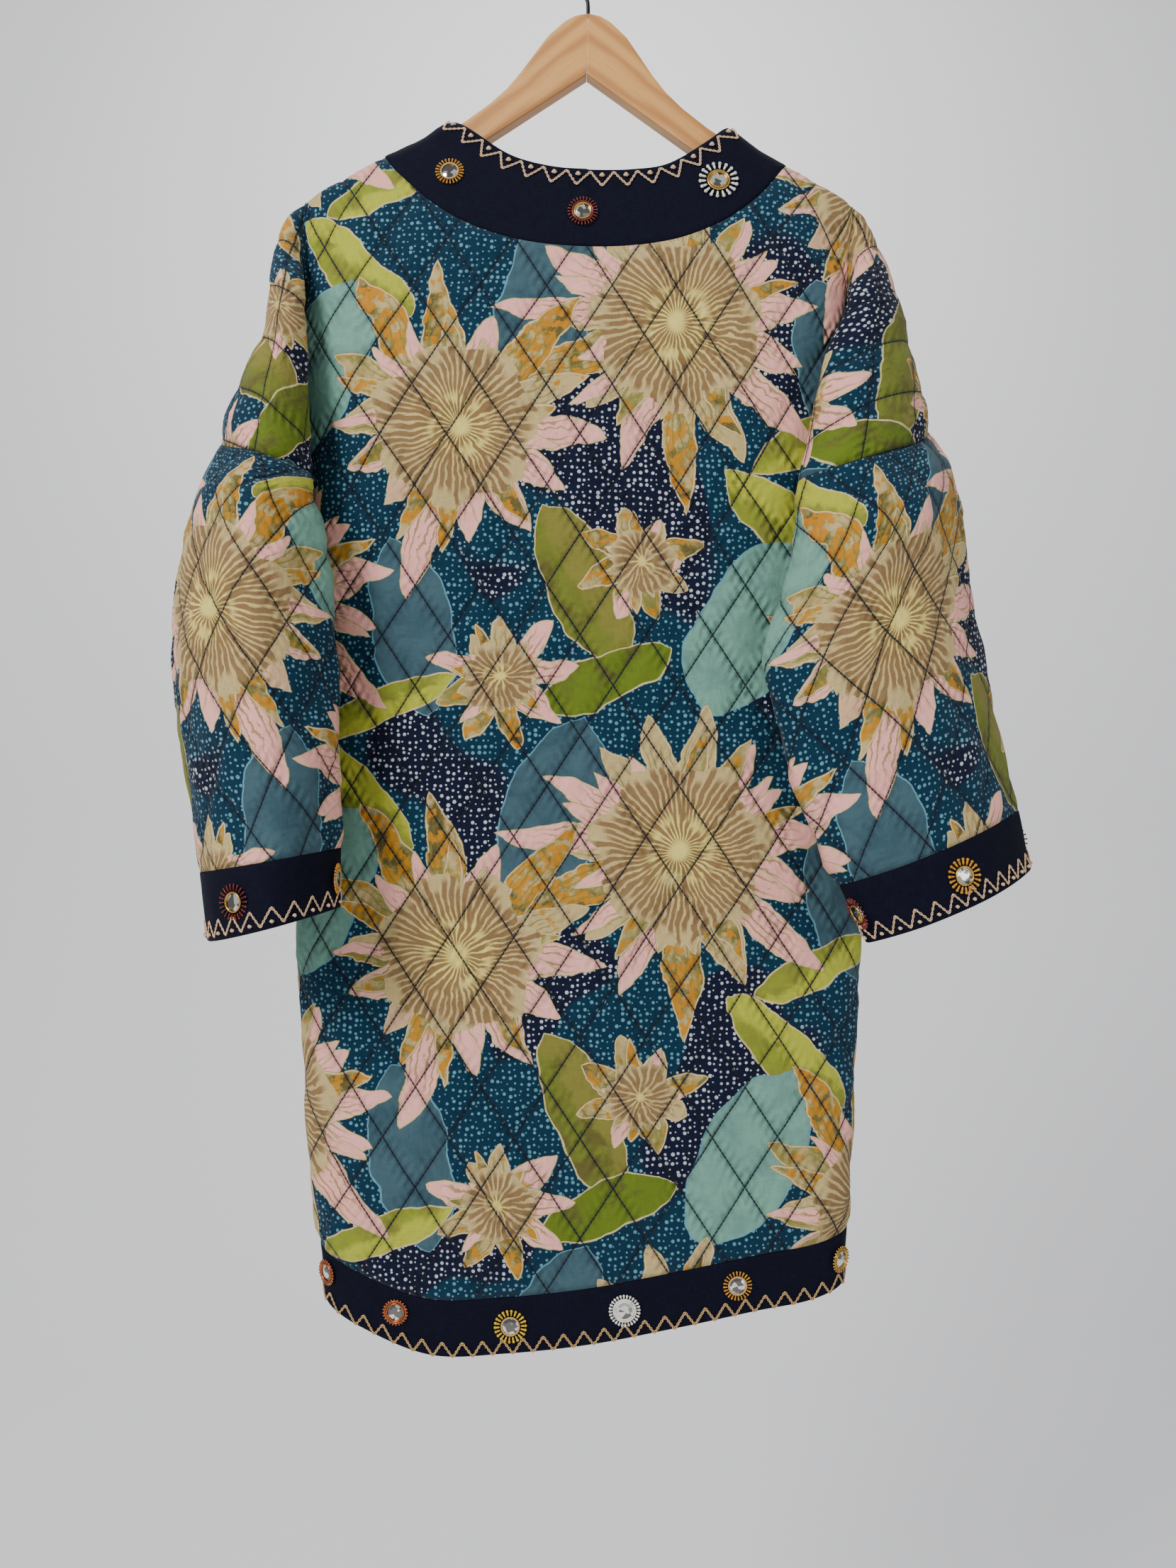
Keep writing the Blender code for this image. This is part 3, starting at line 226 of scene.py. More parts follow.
# %% Sections of the sleeves and places of the mirrors
# A closed section at each fraction of the length, as (x, y) of ten named points
SLEEVE_POINTS = (
    "under", "return", "inner", "near", "near_out", "edge", "far_out", "far_mid", "far_in", "far_return",
)
SLEEVES = {
    "left": {
        0.15: ((226, -40), (210, -62), (196, -78), (235, -122), (280, -86),
               (298, -20), (290, 10), (270, 18), (250, 6), (236, -16)),
        0.37: ((224, -57), (206, -66), (186, -84), (228, -132), (284, -104),
               (312, -42), (303, -10), (282, -2), (258, -12), (240, -37)),
        0.60: ((222, -58), (202, -66), (180, -86), (222, -136), (278, -110),
               (306, -50), (297, -18), (276, -8), (254, -20), (239, -42)),
        0.80: ((220, -60), (200, -68), (178, -90), (216, -140), (266, -116),
               (291, -58), (283, -26), (265, -16), (250, -26), (238, -46)),
        1.00: ((216, -63), (198, -72), (178, -94), (212, -142), (258, -120),
               (280, -62), (273, -32), (258, -22), (246, -32), (234, -50)),
    },
    "right": {
        0.15: ((214, -44), (182, -60), (149, -71), (195, -100), (248, -76),
               (282, -20), (278, 6), (260, 14), (240, 4), (224, -18)),
        0.37: ((210, -57), (170, -62), (129, -76), (180, -101), (240, -84),
               (289, -34), (285, -12), (264, -8), (242, -24), (226, -42)),
        0.60: ((208, -62), (178, -67), (149, -78), (196, -102), (256, -88),
               (305, -40), (301, -20), (279, -14), (254, -32), (232, -50)),
        0.80: ((222, -62), (198, -69), (173, -80), (215, -104), (270, -92),
               (318, -48), (314, -28), (293, -22), (268, -36), (246, -50)),
        1.00: ((240, -64), (220, -71), (202, -82), (238, -104), (288, -96),
               (330, -56), (326, -37), (307, -31), (284, -41), (262, -53)),
    },
}
# Heights of each sleeve's inner and outer edge at those fractions
SLEEVE_HEIGHTS = {
    "columns": ("fraction", "inner_z", "outer_z"),
    "left": (
        (0.15, -476, -451), (0.37, -548, -536), (0.60, -623, -625), (0.80, -688, -703), (1.0, -754, -780),
    ),
    "right": (
        (0.15, -507, -436), (0.37, -579, -513), (0.60, -658, -592), (0.80, -717, -661), (1.0, -781, -730),
    ),
}
CUFF_MIRRORS = 4
FRONT_BAND_MIRRORS = 6
NECK_MIRRORS = ((-106, -196), (-4, -229), (100, -203))
BACK_HEM_MIRRORS = (-200, -146, -58.5, 27.6, 113, 187)
print("sleeve sections at", sorted(SLEEVES["left"]))

# %% [markdown]
# # Smooth lines
# A few measured points are enough for cloth, if the line between them is smooth. A Hermite curve passes
# through every point, and a line can be read again at even steps of its length, as a tape would.

# %% Curves through points
def blend(t, span, start, stop, slope_in, slope_out):
    """The Hermite sum between two points, at a share t of the span between them."""
    near = (2 * t**3 - 3 * t**2 + 1) * start + (t**3 - 2 * t**2 + t) * span * slope_in
    return near + (3 * t**2 - 2 * t**3) * stop + (t**3 - t**2) * span * slope_out


def hermite(x, xs, ys):
    """A smooth curve through the values ys at the places xs, read at x and held beyond the ends."""
    xs = np.asarray(xs, float)
    ys = np.asarray(ys, float)
    x = np.clip(np.asarray(x, float), xs[0], xs[-1])
    slopes = np.empty_like(ys)
    slopes[1:-1] = (ys[2:] - ys[:-2]) / (xs[2:] - xs[:-2])
    slopes[0] = (ys[1] - ys[0]) / (xs[1] - xs[0])
    slopes[-1] = (ys[-1] - ys[-2]) / (xs[-1] - xs[-2])
    i = np.clip(np.searchsorted(xs, x, side="right") - 1, 0, len(xs) - 2)
    span = xs[i + 1] - xs[i]
    return blend((x - xs[i]) / span, span, ys[i], ys[i + 1], slopes[i], slopes[i + 1])


def reach_along(line):
    """The length along a line up to each of its points."""
    return np.concatenate([[0], np.cumsum(np.linalg.norm(np.diff(line, axis=0), axis=1))])


def along(points, per_span=24):
    """A dense smooth line through points of any dimension."""
    points = np.asarray(points, float)
    knots = reach_along(points)
    at = np.unique(np.concatenate([np.linspace(a, b, per_span) for a, b in zip(knots[:-1], knots[1:])]))
    return np.stack([hermite(at, knots, points[:, k]) for k in range(points.shape[1])], axis=1)


def by_length(line, fractions):
    """Points at fractions of a line's length."""
    reach = reach_along(line)
    at = np.asarray(fractions, float) * reach[-1]
    return np.stack([np.interp(at, reach, line[:, k]) for k in range(line.shape[1])], axis=1)


def column(table, name):
    """One named column of a table."""
    return [row[table["columns"].index(name)] for row in table["rows"]]


def length_of(line):
    return float(np.linalg.norm(np.diff(line, axis=0), axis=1).sum())


print("the hem edge is", round(length_of(along(HEM_EDGE["rows"]))), "mm long")

# %% [markdown]
# # From the flat pattern to the body
# Every flat point has a side (left or right), a distance u from the middle and a height z. The body's section
# is a flattened round, read by arc length so that the cloth keeps its width. Above the underarm the section
# closes towards the crease beside the arm.

# %% The body's section
_swing = np.sin(np.linspace(0, math.pi / 2, 400))
_profile = np.stack([_swing, (BACK_DEPTH / HALF_WIDE) * (1 - _swing**EDGE_ROUND) ** (1 / EDGE_ROUND)], axis=1)
_reach = reach_along(_profile)
ROUND_GAIN = float(_reach[-1])


def side_of(sign):
    """The side that a sign or a signed place belongs to."""
    return "left" if sign < 0 else "right"


def side_at(side, z):
    """How far the side lies from the middle at a height."""
    rows = SIDES["rows"][::-1]
    place = SIDES["columns"].index(side)
    return hermite(z, [row[0] for row in rows], [row[place] for row in rows])


def ridge_at(side, x):
    """The ridge's height at a distance from the middle."""
    return hermite(x, column(RIDGE, "x"), column(RIDGE, side + "_z"))


def tip_flat(side):
    x, z = TIP[side]
    return np.array([x * ROUND_GAIN, z])


def underarm_flat(side):
    z = TIP[side][1] - UNDERARM_DOWN[side]
    return np.array([float(side_at(side, z)) * ROUND_GAIN, z])


def half_at(side, z):
    """The flat pattern's half width at a height."""
    tip, under = tip_flat(side), underarm_flat(side)
    straight = tip[0] + (under[0] - tip[0]) * np.clip((tip[1] - z) / (tip[1] - under[1]), 0, 1)
    return np.where(z < under[1], side_at(side, z) * ROUND_GAIN, straight)


def flat_u(side, x, z):
    """The flat pattern's u at a distance x from the middle."""
    share = np.interp(np.asarray(x) / side_at(side, z), _swing, _reach / ROUND_GAIN)
    return share * half_at(side, z)


def body_point(side, face, u, z):
    """The body of the coat, for u from 0 to the half width. x is positive on both sides here."""
    share = np.clip(u / half_at(side, z), 0, 1)
    part = np.interp(share, _reach / ROUND_GAIN, _swing)
    x = side_at(side, z) * part
    drop = np.maximum(ridge_at(side, x) - z, 0)
    rounded = RIDGE_ROUND * np.sqrt(np.clip(1 - (1 - np.minimum(drop, RIDGE_ROUND) / RIDGE_ROUND) ** 2, 0, 1))
    full = BACK_DEPTH if face == "back" else FRONT_DEPTH
    depth = rounded + (full - RIDGE_ROUND) * (1 - np.exp(-np.maximum(drop - 4, 0) / DEPTH_FALL))
    under = TIP[side][1] - UNDERARM_DOWN[side]
    fall = np.clip((TIP[side][1] - z) / (TIP[side][1] - under), 0, 1)
    valley = np.minimum(VALLEY_DEPTH[side] * np.sin(math.pi * fall), depth)
    part = np.clip(part, 0, 1)
    open_side = np.clip((z - under) / CREASE_BLEND, 0, 1)
    edge = open_side * (1 - part**CREASE_POWER) + (1 - open_side) * (1 - part**EDGE_ROUND) ** (1 / EDGE_ROUND)
    above = np.clip((z - TIP[side][1]) / CREASE_BLEND + 1, 0, 1)
    edge = edge + (1 - edge) * above
    y = valley + (depth - valley) * edge
    return np.stack([x, -y if face == "back" else y, z + 0 * x], axis=-1)


print("a flat half is", round(ROUND_GAIN, 3), "times as wide as its shape")

# %% [markdown]
# # The dropped shoulders
# The cloth beyond the crease falls over the upper arm. Its section is a curve through six points that moves
# down from the shoulder tip, and its flat shape is a wedge between the crease and the shoulder line.

# %% The wedge of cloth over the arm
def arm_control(side, face, down):
    """The section's control points at distances down from the tip, as (points, 6 controls, xy)."""
    down = np.atleast_1d(np.asarray(down, float))
    rows = np.array(ARMS[side, face], float)
    tip = TIP[side]
    read = {name: hermite(down, rows[:, 0], rows[:, k]) for k, name in enumerate(ARM_COLUMNS)}
    z_valley = tip[1] - down
    valley = body_point(side, face, half_at(side, z_valley), z_valley)
    edge = np.array(ARM_EDGE[side], float)
    edge_x = hermite(down, edge[:, 0], edge[:, 1])
    flat = [valley[:, :2]] + [np.stack([read[p + "_x"], read[p + "_y"]], axis=1) for p in ARM_PARTS]
    flat.append(np.stack([edge_x, 0 * edge_x], axis=1))
    return np.stack(flat, axis=1)


def arm_point(side, face, down, share):
    """The dropped shoulder: share 0 is the crease beside the body, 1 the shoulder line."""
    down = np.atleast_1d(np.asarray(down, float))
    share = np.atleast_1d(np.asarray(share, float))
    control = arm_control(side, face, down)
    other = arm_control(side, "front" if face == "back" else "back", down)[:, 4:5]
    control = np.concatenate([control, other], axis=1)
    steps = np.linalg.norm(np.diff(control, axis=1), axis=2) + 1e-6
    knots = np.concatenate([np.zeros((len(down), 1)), np.cumsum(steps, axis=1)], axis=1)
    slopes = np.empty_like(control)
    slopes[:, 1:-1] = (control[:, 2:] - control[:, :-2]) / (knots[:, 2:] - knots[:, :-2])[..., None]
    slopes[:, 0] = (control[:, 1] - control[:, 0]) / steps[:, :1]
    at = share * knots[:, 5]
    i = np.clip((at[:, None] >= knots[:, :6]).sum(axis=1) - 1, 0, 4)
    n = np.arange(len(down))
    span = steps[n, i]
    t = ((at - knots[n, i]) / span)[:, None]
    span = span[:, None]
    xy = blend(t, span, control[n, i], control[n, i + 1], slopes[n, i], slopes[n, i + 1])
    z = TIP[side][1] - down * (1 - SHOULDER_SAG * share**2)
    return np.concatenate([xy, z[:, None]], axis=1)


def seam_down(side, share):
    """How far down from the tip the sleeve's seam lies."""
    low, high = UNDERARM_DOWN[side], SHOULDER_DOWN[side]
    return high + (low - high) * (1 - np.asarray(share, float) ** SEAM_BEND)


def arm_angles(side, face):
    """The flat wedge of the dropped shoulder: the crease's angle and the shoulder line's."""
    way = underarm_flat(side) - tip_flat(side)
    return math.atan2(-way[1], way[0]), SHOULDER_SLOPE[face]


def arm_flat(side, face, down, share):
    """Where a point of the dropped shoulder lies in the flat pattern."""
    crease, line = arm_angles(side, face)
    angle = crease + (line - crease) * np.asarray(share, float)
    tip = tip_flat(side)
    return np.stack([tip[0] + down * np.cos(angle), tip[1] - down * np.sin(angle)], axis=-1)


def panel_point(side, face, flat):
    """The cloth's place for a point of the flat pattern, on the body or on the dropped shoulder."""
    flat = np.atleast_2d(flat)
    u, z = flat[:, 0], flat[:, 1]
    out = body_point(side, face, u, z)
    crease, line = arm_angles(side, face)
    tip = tip_flat(side)
    away = flat - tip
    down = np.linalg.norm(away, axis=1)
    angle = np.arctan2(-away[:, 1], away[:, 0])
    on_arm = (u > half_at(side, z) + 1e-6) & (angle > 0) & (z > underarm_flat(side)[1] - 1e-6)
    on_arm &= away[:, 1] < 0
    if on_arm.any():
        share = np.clip((crease - angle[on_arm]) / (crease - line), 0, 1)
        out[on_arm] = arm_point(side, face, down[on_arm], share)
    return out


print("the left seam lies", SHOULDER_DOWN["left"], "mm down the shoulder line")

# %% Places and directions on the cloth
def place(face, flat):
    """The cloth's place for signed flat points: u below 0 is the left side."""
    flat = np.atleast_2d(np.asarray(flat, float))
    out = np.empty((len(flat), 3))
    for side, sign in SIGNS.items():
        here = flat[:, 0] < 0 if side == "left" else flat[:, 0] >= 0
        if here.any():
            points = panel_point(side, face, flat[here] * (sign, 1))
            points[:, 0] *= sign
            out[here] = points
    out[:, 1] += SEAM / 2 if face == "front" else -SEAM / 2
    return out


def place_normal(face, flat):
    """The body's outward direction at flat points."""
    flat = np.atleast_2d(np.asarray(flat, float))
    step = 2.0
    across = place(face, flat + (step, 0)) - place(face, flat - (step, 0))
    up = place(face, flat + (0, step)) - place(face, flat - (0, step))
    normal = np.cross(across, up) if face == "back" else np.cross(up, across)
    return normal / np.linalg.norm(normal, axis=1)[:, None]


def vertex_normals(points, faces):
    corners = points[faces]
    normal = np.cross(corners[:, 1] - corners[:, 0], corners[:, 2] - corners[:, 0])
    out = np.zeros_like(points)
    for k in range(3):
        np.add.at(out, faces[:, k], normal)
    return out / np.linalg.norm(out, axis=1)[:, None]


def inside(outline, points):
    """Which points lie inside an outline."""
    result = np.zeros(len(points), bool)
    for a, b in zip(outline, np.roll(outline, -1, axis=0)):
        crosses = (a[1] > points[:, 1]) != (b[1] > points[:, 1])
        with np.errstate(divide="ignore", invalid="ignore"):
            at = (b[0] - a[0]) * (points[:, 1] - a[1]) / (b[1] - a[1]) + a[0]
        result ^= crosses & (points[:, 0] < at)
    return result


def far_from(outline, points):
    """Each point's distance from the outline."""
    best = np.full(len(points), np.inf)
    for a, b in zip(outline, np.roll(outline, -1, axis=0)):
        along_span = b - a
        t = np.clip((points - a) @ along_span / (along_span @ along_span + 1e-12), 0, 1)
        best = np.minimum(best, np.linalg.norm(points - (a + t[:, None] * along_span), axis=1))
    return best


print("the middle of the back at z -600 lies at", place("back", [(0, -600)]).round(1)[0])

# %% [markdown]
# # Edges and seams
# The bands follow the neck, the fronts and the hem. Their lines are kept in the flat pattern, so a band and
# the panel beside it share one seam.

# %% Lines of the bands
def hem_at(x):
    return hermite(x, column(HEM_EDGE, "x"), column(HEM_EDGE, "z"))


def band_corner(side):
    """Where the neck band's seam meets the shoulder seam, as x."""
    return abs(NECK_SEAM["rows"][0 if side == "left" else -1][0])


def hem_seam_height(sign):
    """The height at which the side seam meets the hem band."""
    side = side_of(sign)
    z = hem_at(sign * 200.0) + HEM_BAND
    for _ in range(3):
        z = hem_at(sign * float(side_at(side, z))) + HEM_BAND
    return float(z)


def body_frame(flat_line):
    """A line in x and z turned into the flat pattern."""
    out = []
    for x, z in flat_line:
        out.append((math.copysign(float(flat_u(side_of(x), abs(x), z)), x), z))
    return np.array(out)


def neck_lines(fractions):
    """The neck band's seam and its free edge in the flat pattern, left to right."""
    seam = by_length(along(body_frame(NECK_SEAM["rows"])), fractions)
    edge = by_length(along(body_frame(NECK_EDGE["rows"])), fractions)
    return seam, edge


def hem_corner(sign):
    """The side seam's place at the hem seam, as signed u."""
    return sign * float(half_at(side_of(sign), hem_seam_height(sign)))


def hem_places(start, stop):
    """Places along the hem seam, shared by the panel above it and the band below."""
    return np.linspace(start, stop, max(2, round(abs(stop - start) / EDGE_STEP)) + 1)


def front_rows():
    """Places along a front band, closer together where it turns over the shoulder."""
    whole = length_of(along(FRONT_SEAM["rows"]))
    ends = np.array([0, 5, 14, 32]) / whole
    return np.concatenate([ends, np.linspace(ends[-1], 1, round(whole / 34))[1:]])


def front_lines(sign, fractions):
    """A front band's seam and free edge in the flat pattern, from the shoulder down."""
    side = side_of(sign)
    lines = []
    for table in (FRONT_SEAM, FRONT_EDGE):
        rows = [list(row) for row in table["rows"]]
        rows[-1][1] = float(hem_at(sign * rows[-1][0] / ROUND_GAIN)) + HEM_BAND
        x = band_corner(side) if table is FRONT_SEAM else abs(NECK_EDGE["rows"][0 if sign < 0 else -1][0])
        rows[0] = [float(flat_u(side, x, ridge_at(side, x))), float(ridge_at(side, x))]
        lines.append(by_length(along(rows), fractions) * (sign, 1))
    return lines


def gap_from(line, other, gap=SEAM):
    """The first line moved a seam's gap towards the other."""
    way = other - line
    return line + way * (gap / np.linalg.norm(way, axis=1))[:, None]


def stretch_to_sides(lines, low_side, high_side):
    """The hem band's ends follow the side seams."""
    lines = lines.copy()
    for row in lines:
        z_low, z_high = row[0][1], row[-1][1]
        low = -float(half_at("left", z_low)) if low_side else row[0][0]
        high = float(half_at("right", z_high)) if high_side else row[-1][0]
        share = (row[:, 0] - row[0][0]) / (row[-1][0] - row[0][0])
        row[:, 0] = low + (high - low) * share
    return lines


print("the side seams meet the hem band at u", round(hem_corner(-1)), "and", round(hem_corner(1)))

# %% Sections of a sleeve
def ring(side, back_columns, front_columns):
    """The sleeve seam in place, columns from the underarm over the back to the shoulder line and round."""
    back = np.linspace(0, 1, back_columns + 1)
    front = np.linspace(1, 0, front_columns + 1)[1:-1]
    points = np.concatenate([
        arm_point(side, "back", seam_down(side, back), back),
        arm_point(side, "front", seam_down(side, front), front),
    ])
    points[:, 0] *= SIGNS[side]
    return points


def sleeve_rows(side, back_columns, front_columns):
    """The sleeve's sections at the table's fractions, each with the seam's columns."""
    fractions, rows = [0.0], [ring(side, back_columns, front_columns)]
    for fraction, inner_z, outer_z in SLEEVE_HEIGHTS[side]:
        loop = np.array(SLEEVES[side][fraction], float)
        inner_x, outer_x = loop[SLEEVE_POINTS.index("inner")][0], loop[SLEEVE_POINTS.index("edge")][0]
        closed = np.concatenate([loop[-2:], loop, loop[:3]])
        line = along(closed, 40)
        start, turn = (int(np.argmin(np.linalg.norm(line - loop[k], axis=1))) for k in (0, 5))
        stop = turn + 1 + int(np.argmin(np.linalg.norm(line[turn + 1:] - loop[0], axis=1)))
        back = by_length(line[start:turn + 1], np.linspace(0, 1, back_columns + 1))
        front = by_length(line[turn:stop + 1], np.linspace(0, 1, front_columns + 1))[1:-1]
        section = np.concatenate([back, front])
        z = inner_z + (outer_z - inner_z) * (section[:, 0] - inner_x) / (outer_x - inner_x)
        rows.append(np.column_stack([section[:, 0] * SIGNS[side], section[:, 1], z]))
        fractions.append(fraction)
    return np.array(fractions), np.array(rows)


sections = sleeve_rows("left", SLEEVE_BACK_COLUMNS, SLEEVE_FRONT_COLUMNS)[0]
print("a sleeve has", len(sections), "measured sections")

# %% [markdown]
# # Shader sums
# A printed cloth is mostly arithmetic: how far a place lies from a line, and which shape it falls in. A small
# class wraps a socket, so that each operator adds one Math node and the sums can be written as sums. Every
# other node comes from one helper, which sets the node's choices first and its sockets after.

# %% Values and nodes
class Value:
    """A shader value that takes part in ordinary sums."""

    tree = None

    def __init__(self, socket):
        self.socket = socket

    def sum(self, operation, *others):
        return Value(node("Math", {"operation": operation}, dict(enumerate((self, *others)))).outputs[0])

    def __add__(self, other):
        return self.sum("ADD", other)

    def __sub__(self, other):
        return self.sum("SUBTRACT", other)

    def __rsub__(self, other):
        return self * -1 + other

    def __mul__(self, other):
        return self.sum("MULTIPLY", other)

    def __truediv__(self, other):
        return self.sum("DIVIDE", other)

    def __pow__(self, other):
        return self.sum("POWER", other)

    def __abs__(self):
        return self.sum("ABSOLUTE")

    def __and__(self, other):
        return self.sum("MINIMUM", other)

    def __or__(self, other):
        return self.sum("MAXIMUM", other)

    __radd__ = __add__
    __rmul__ = __mul__

    def fract(self):
        return self.sum("FRACT")

    def floor(self):
        return self.sum("FLOOR")

    def sin(self):
        return self.sum("SINE")

    def step(self, low, high):
        """0 before low and 1 past high, smooth between."""
        made = node("MapRange", {"interpolation_type": "SMOOTHSTEP"}, {0: self, 1: low, 2: high})
        return Value(made.outputs["Result"])


def node(kind, settings=None, sockets=None):
    """One node of the open material: its type, its settings, and the values or links of its sockets."""
    made = Value.tree.nodes.new("ShaderNode" + kind)
    for name, choice in (settings or {}).items():
        setattr(made, name, choice)
    for name, value in (sockets or {}).items():
        value = value.socket if isinstance(value, Value) else value
        if isinstance(value, bpy.types.NodeSocket):
            Value.tree.links.new(value, made.inputs[name])
        else:
            made.inputs[name].default_value = value
    return made


def begin(name):
    """A new material, opened for the helpers, with its Principled shader."""
    made = bpy.data.materials.new(name)
    made.use_nodes = True
    Value.tree = made.node_tree
    return made, made.node_tree.nodes["Principled BSDF"]


def finish(shader, colour, height=None, relief=1.0, **fixed):
    """The colour and the relief (a height in millimetres) are linked, and fixed numbers set on the shader."""
    Value.tree.links.new(colour, shader.inputs["Base Color"])
    if height is not None:
        made = node("Bump", None, {"Strength": relief, "Distance": 0.001, "Height": height})
        Value.tree.links.new(made.outputs[0], shader.inputs["Normal"])
    for name, value in fixed.items():
        socket = shader.inputs[name.replace("_", " ")]
        if isinstance(value, Value):
            Value.tree.links.new(value.socket, socket)
        else:
            socket.default_value = value


def vector(x, y, z=0.0):
    return node("CombineXYZ", None, {0: x, 1: y, 2: z}).outputs[0]


def cloud(spot, scale=1.0, detail=2.0, rough=0.5, swirl=0.0):
    """A noise value from 0 to 1."""
    sockets = {"Vector": spot, "Scale": scale, "Detail": detail, "Roughness": rough, "Distortion": swirl}
    return Value(node("TexNoise", None, sockets).outputs["Fac"])


def mix(under, over, share):
    """Two colours mixed by a value."""
    under, over = ((*c, 1.0) if isinstance(c, tuple) else c for c in (under, over))
    return node("Mix", {"data_type": "RGBA"}, {0: share, 6: under, 7: over}).outputs[2]


def seen(red, green, blue):
    """A colour as seen, from 0 to 255, turned into light."""
    shares = [c / 255 for c in (red, green, blue)]
    return tuple(c / 12.92 if c <= 0.04 else ((c + 0.055) / 1.055) ** 2.4 for c in shares)


def flat_place():
    """The cloth's flat pattern, in millimetres."""
    parts = node("SeparateXYZ", None, {0: node("UVMap", {"uv_map": "flat"}).outputs[0]})
    return Value(parts.outputs[0]) * 1000, Value(parts.outputs[1]) * 1000


def object_place():
    """The place on the object, in millimetres."""
    parts = node("SeparateXYZ", None, {0: node("TexCoord").outputs["Object"]})
    return [Value(parts.outputs[k]) * 1000 for k in range(3)]


print("shader helpers ready")

# %% [markdown]
# # The print: dyes and layout
# The coat's cloth is a large-scale print. Here it is a plain flower-and-leaf design of its own: round
# flowers with long petals, simple leaves, and a dark ground covered with dots. One tile holds the layout, and
# each column of tiles drops by half, as on most printed cloth.

# %% Dyes and layout
# Red, green and blue as seen
DYES = {
    "teal": (0, 40, 60), "teal dot": (90, 142, 158), "navy": (2, 10, 38), "navy dot": (186, 192, 200),
    "sand": (184, 162, 112), "stripe": (126, 98, 64), "heart": (218, 200, 112), "pink": (234, 168, 158),
    "mustard": (186, 124, 22), "olive": (118, 114, 50), "green": (92, 110, 26), "chartreuse": (164, 168, 56),
    "sea": (110, 154, 138), "slate": (60, 88, 98), "bark": (84, 72, 40), "pale": (200, 182, 134),
}
BLOOMS = {
    "columns": ("x", "y", "radius", "petals", "turn"),
    "rows": ((70, 84, 148, 15, 0.2), (232, 206, 136, 14, 0.7), (262, 16, 60, 9, 0.4), (40, 300, 54, 8, 0.1)),
}
LEAVES = {
    "columns": ("x", "y", "turn", "length", "width", "tint"),
    "rows": (
        (302, 306, 1.35, 170, 74, "slate"),
        (150, 330, 2.5, 126, 40, "chartreuse"),
        (122, 252, 1.2, 150, 78, "sea"),
        (326, 84, 2.1, 140, 52, "olive"),
        (14, 214, 0.5, 112, 38, "green"),
        (196, 52, 1.9, 140, 62, "slate"),
        (176, 394, 0.5, 112, 30, "chartreuse"),
    ),
}
# The dye that shades each leaf's own
LEAF_SHADES = {"sea": "slate", "slate": "teal", "olive": "bark", "green": "bark", "chartreuse": "olive"}
TILE_WIDE, TILE_TALL = 330.0, 400.0
DOTS = {"pitch": 4.7, "least": 0.11, "most": 0.31, "scatter": 0.62}


def dye(name):
    return seen(*DYES[name])


def repeat(u, v, x, y):
    """The way to the nearest repeat of a place in the print."""
    tile = ((u - x) / TILE_WIDE + 0.5).floor()
    across = u - x - tile * TILE_WIDE
    up = (v - y + tile * (TILE_TALL / 2)).sum("WRAP", TILE_TALL / 2, -TILE_TALL / 2)
    return across, up


def chance(value):
    """A random value from 0 to 1 for each whole number."""
    return Value(node("TexWhiteNoise", {"noise_dimensions": "1D"}, {"W": value}).outputs["Value"])


print(len(BLOOMS["rows"]), "flowers and", len(LEAVES["rows"]), "leaves in a tile")

# %% [markdown]
# # The print: leaves, flowers and dots
# A leaf is an oval whose edge distance is a sum of its place along and beside its rib. A flower turns its
# place into an angle and a distance, and counts petals round: each petal gets its own length and dye by
# chance, and the striped heart lies over them. Dots come from Voronoi cells, each with its own size.

# %% Leaves, flowers and dots
def leaf(colour, u, v, mottle, x, y, turn, length, width, tint):
    """A plain leaf: green ones have a mottled darker half, and blue ones are near even."""
    across, up = repeat(u, v, x, y)
    along_rib = across * math.cos(turn) + up * math.sin(turn)
    beside = up * math.cos(turn) - across * math.sin(turn)
    share = abs(along_rib / (length / 2))
    edge = (1 - share * share * 0.4 - share**5.0 * 0.6) * (width / 2) - abs(beside + along_rib * 0.1)
    cool = tint in ("sea", "slate")
    other = LEAF_SHADES[tint]
    if cool:
        inner = mix(dye(tint), dye(other), mottle.step(0.35, 0.8) * 0.45)
    else:
        half = (beside + mottle * 30 - 15).step(-4, 4)
        inner = mix(dye(tint), dye("green"), half * 0.6)
        inner = mix(inner, dye(other), half * mottle.step(0.42, 0.66) * 0.75)
    inner = mix(dye("teal dot" if cool else "pale"), inner, edge.step(0.8, 1.5))
    return mix(colour, inner, edge.step(-0.4, 0.4))


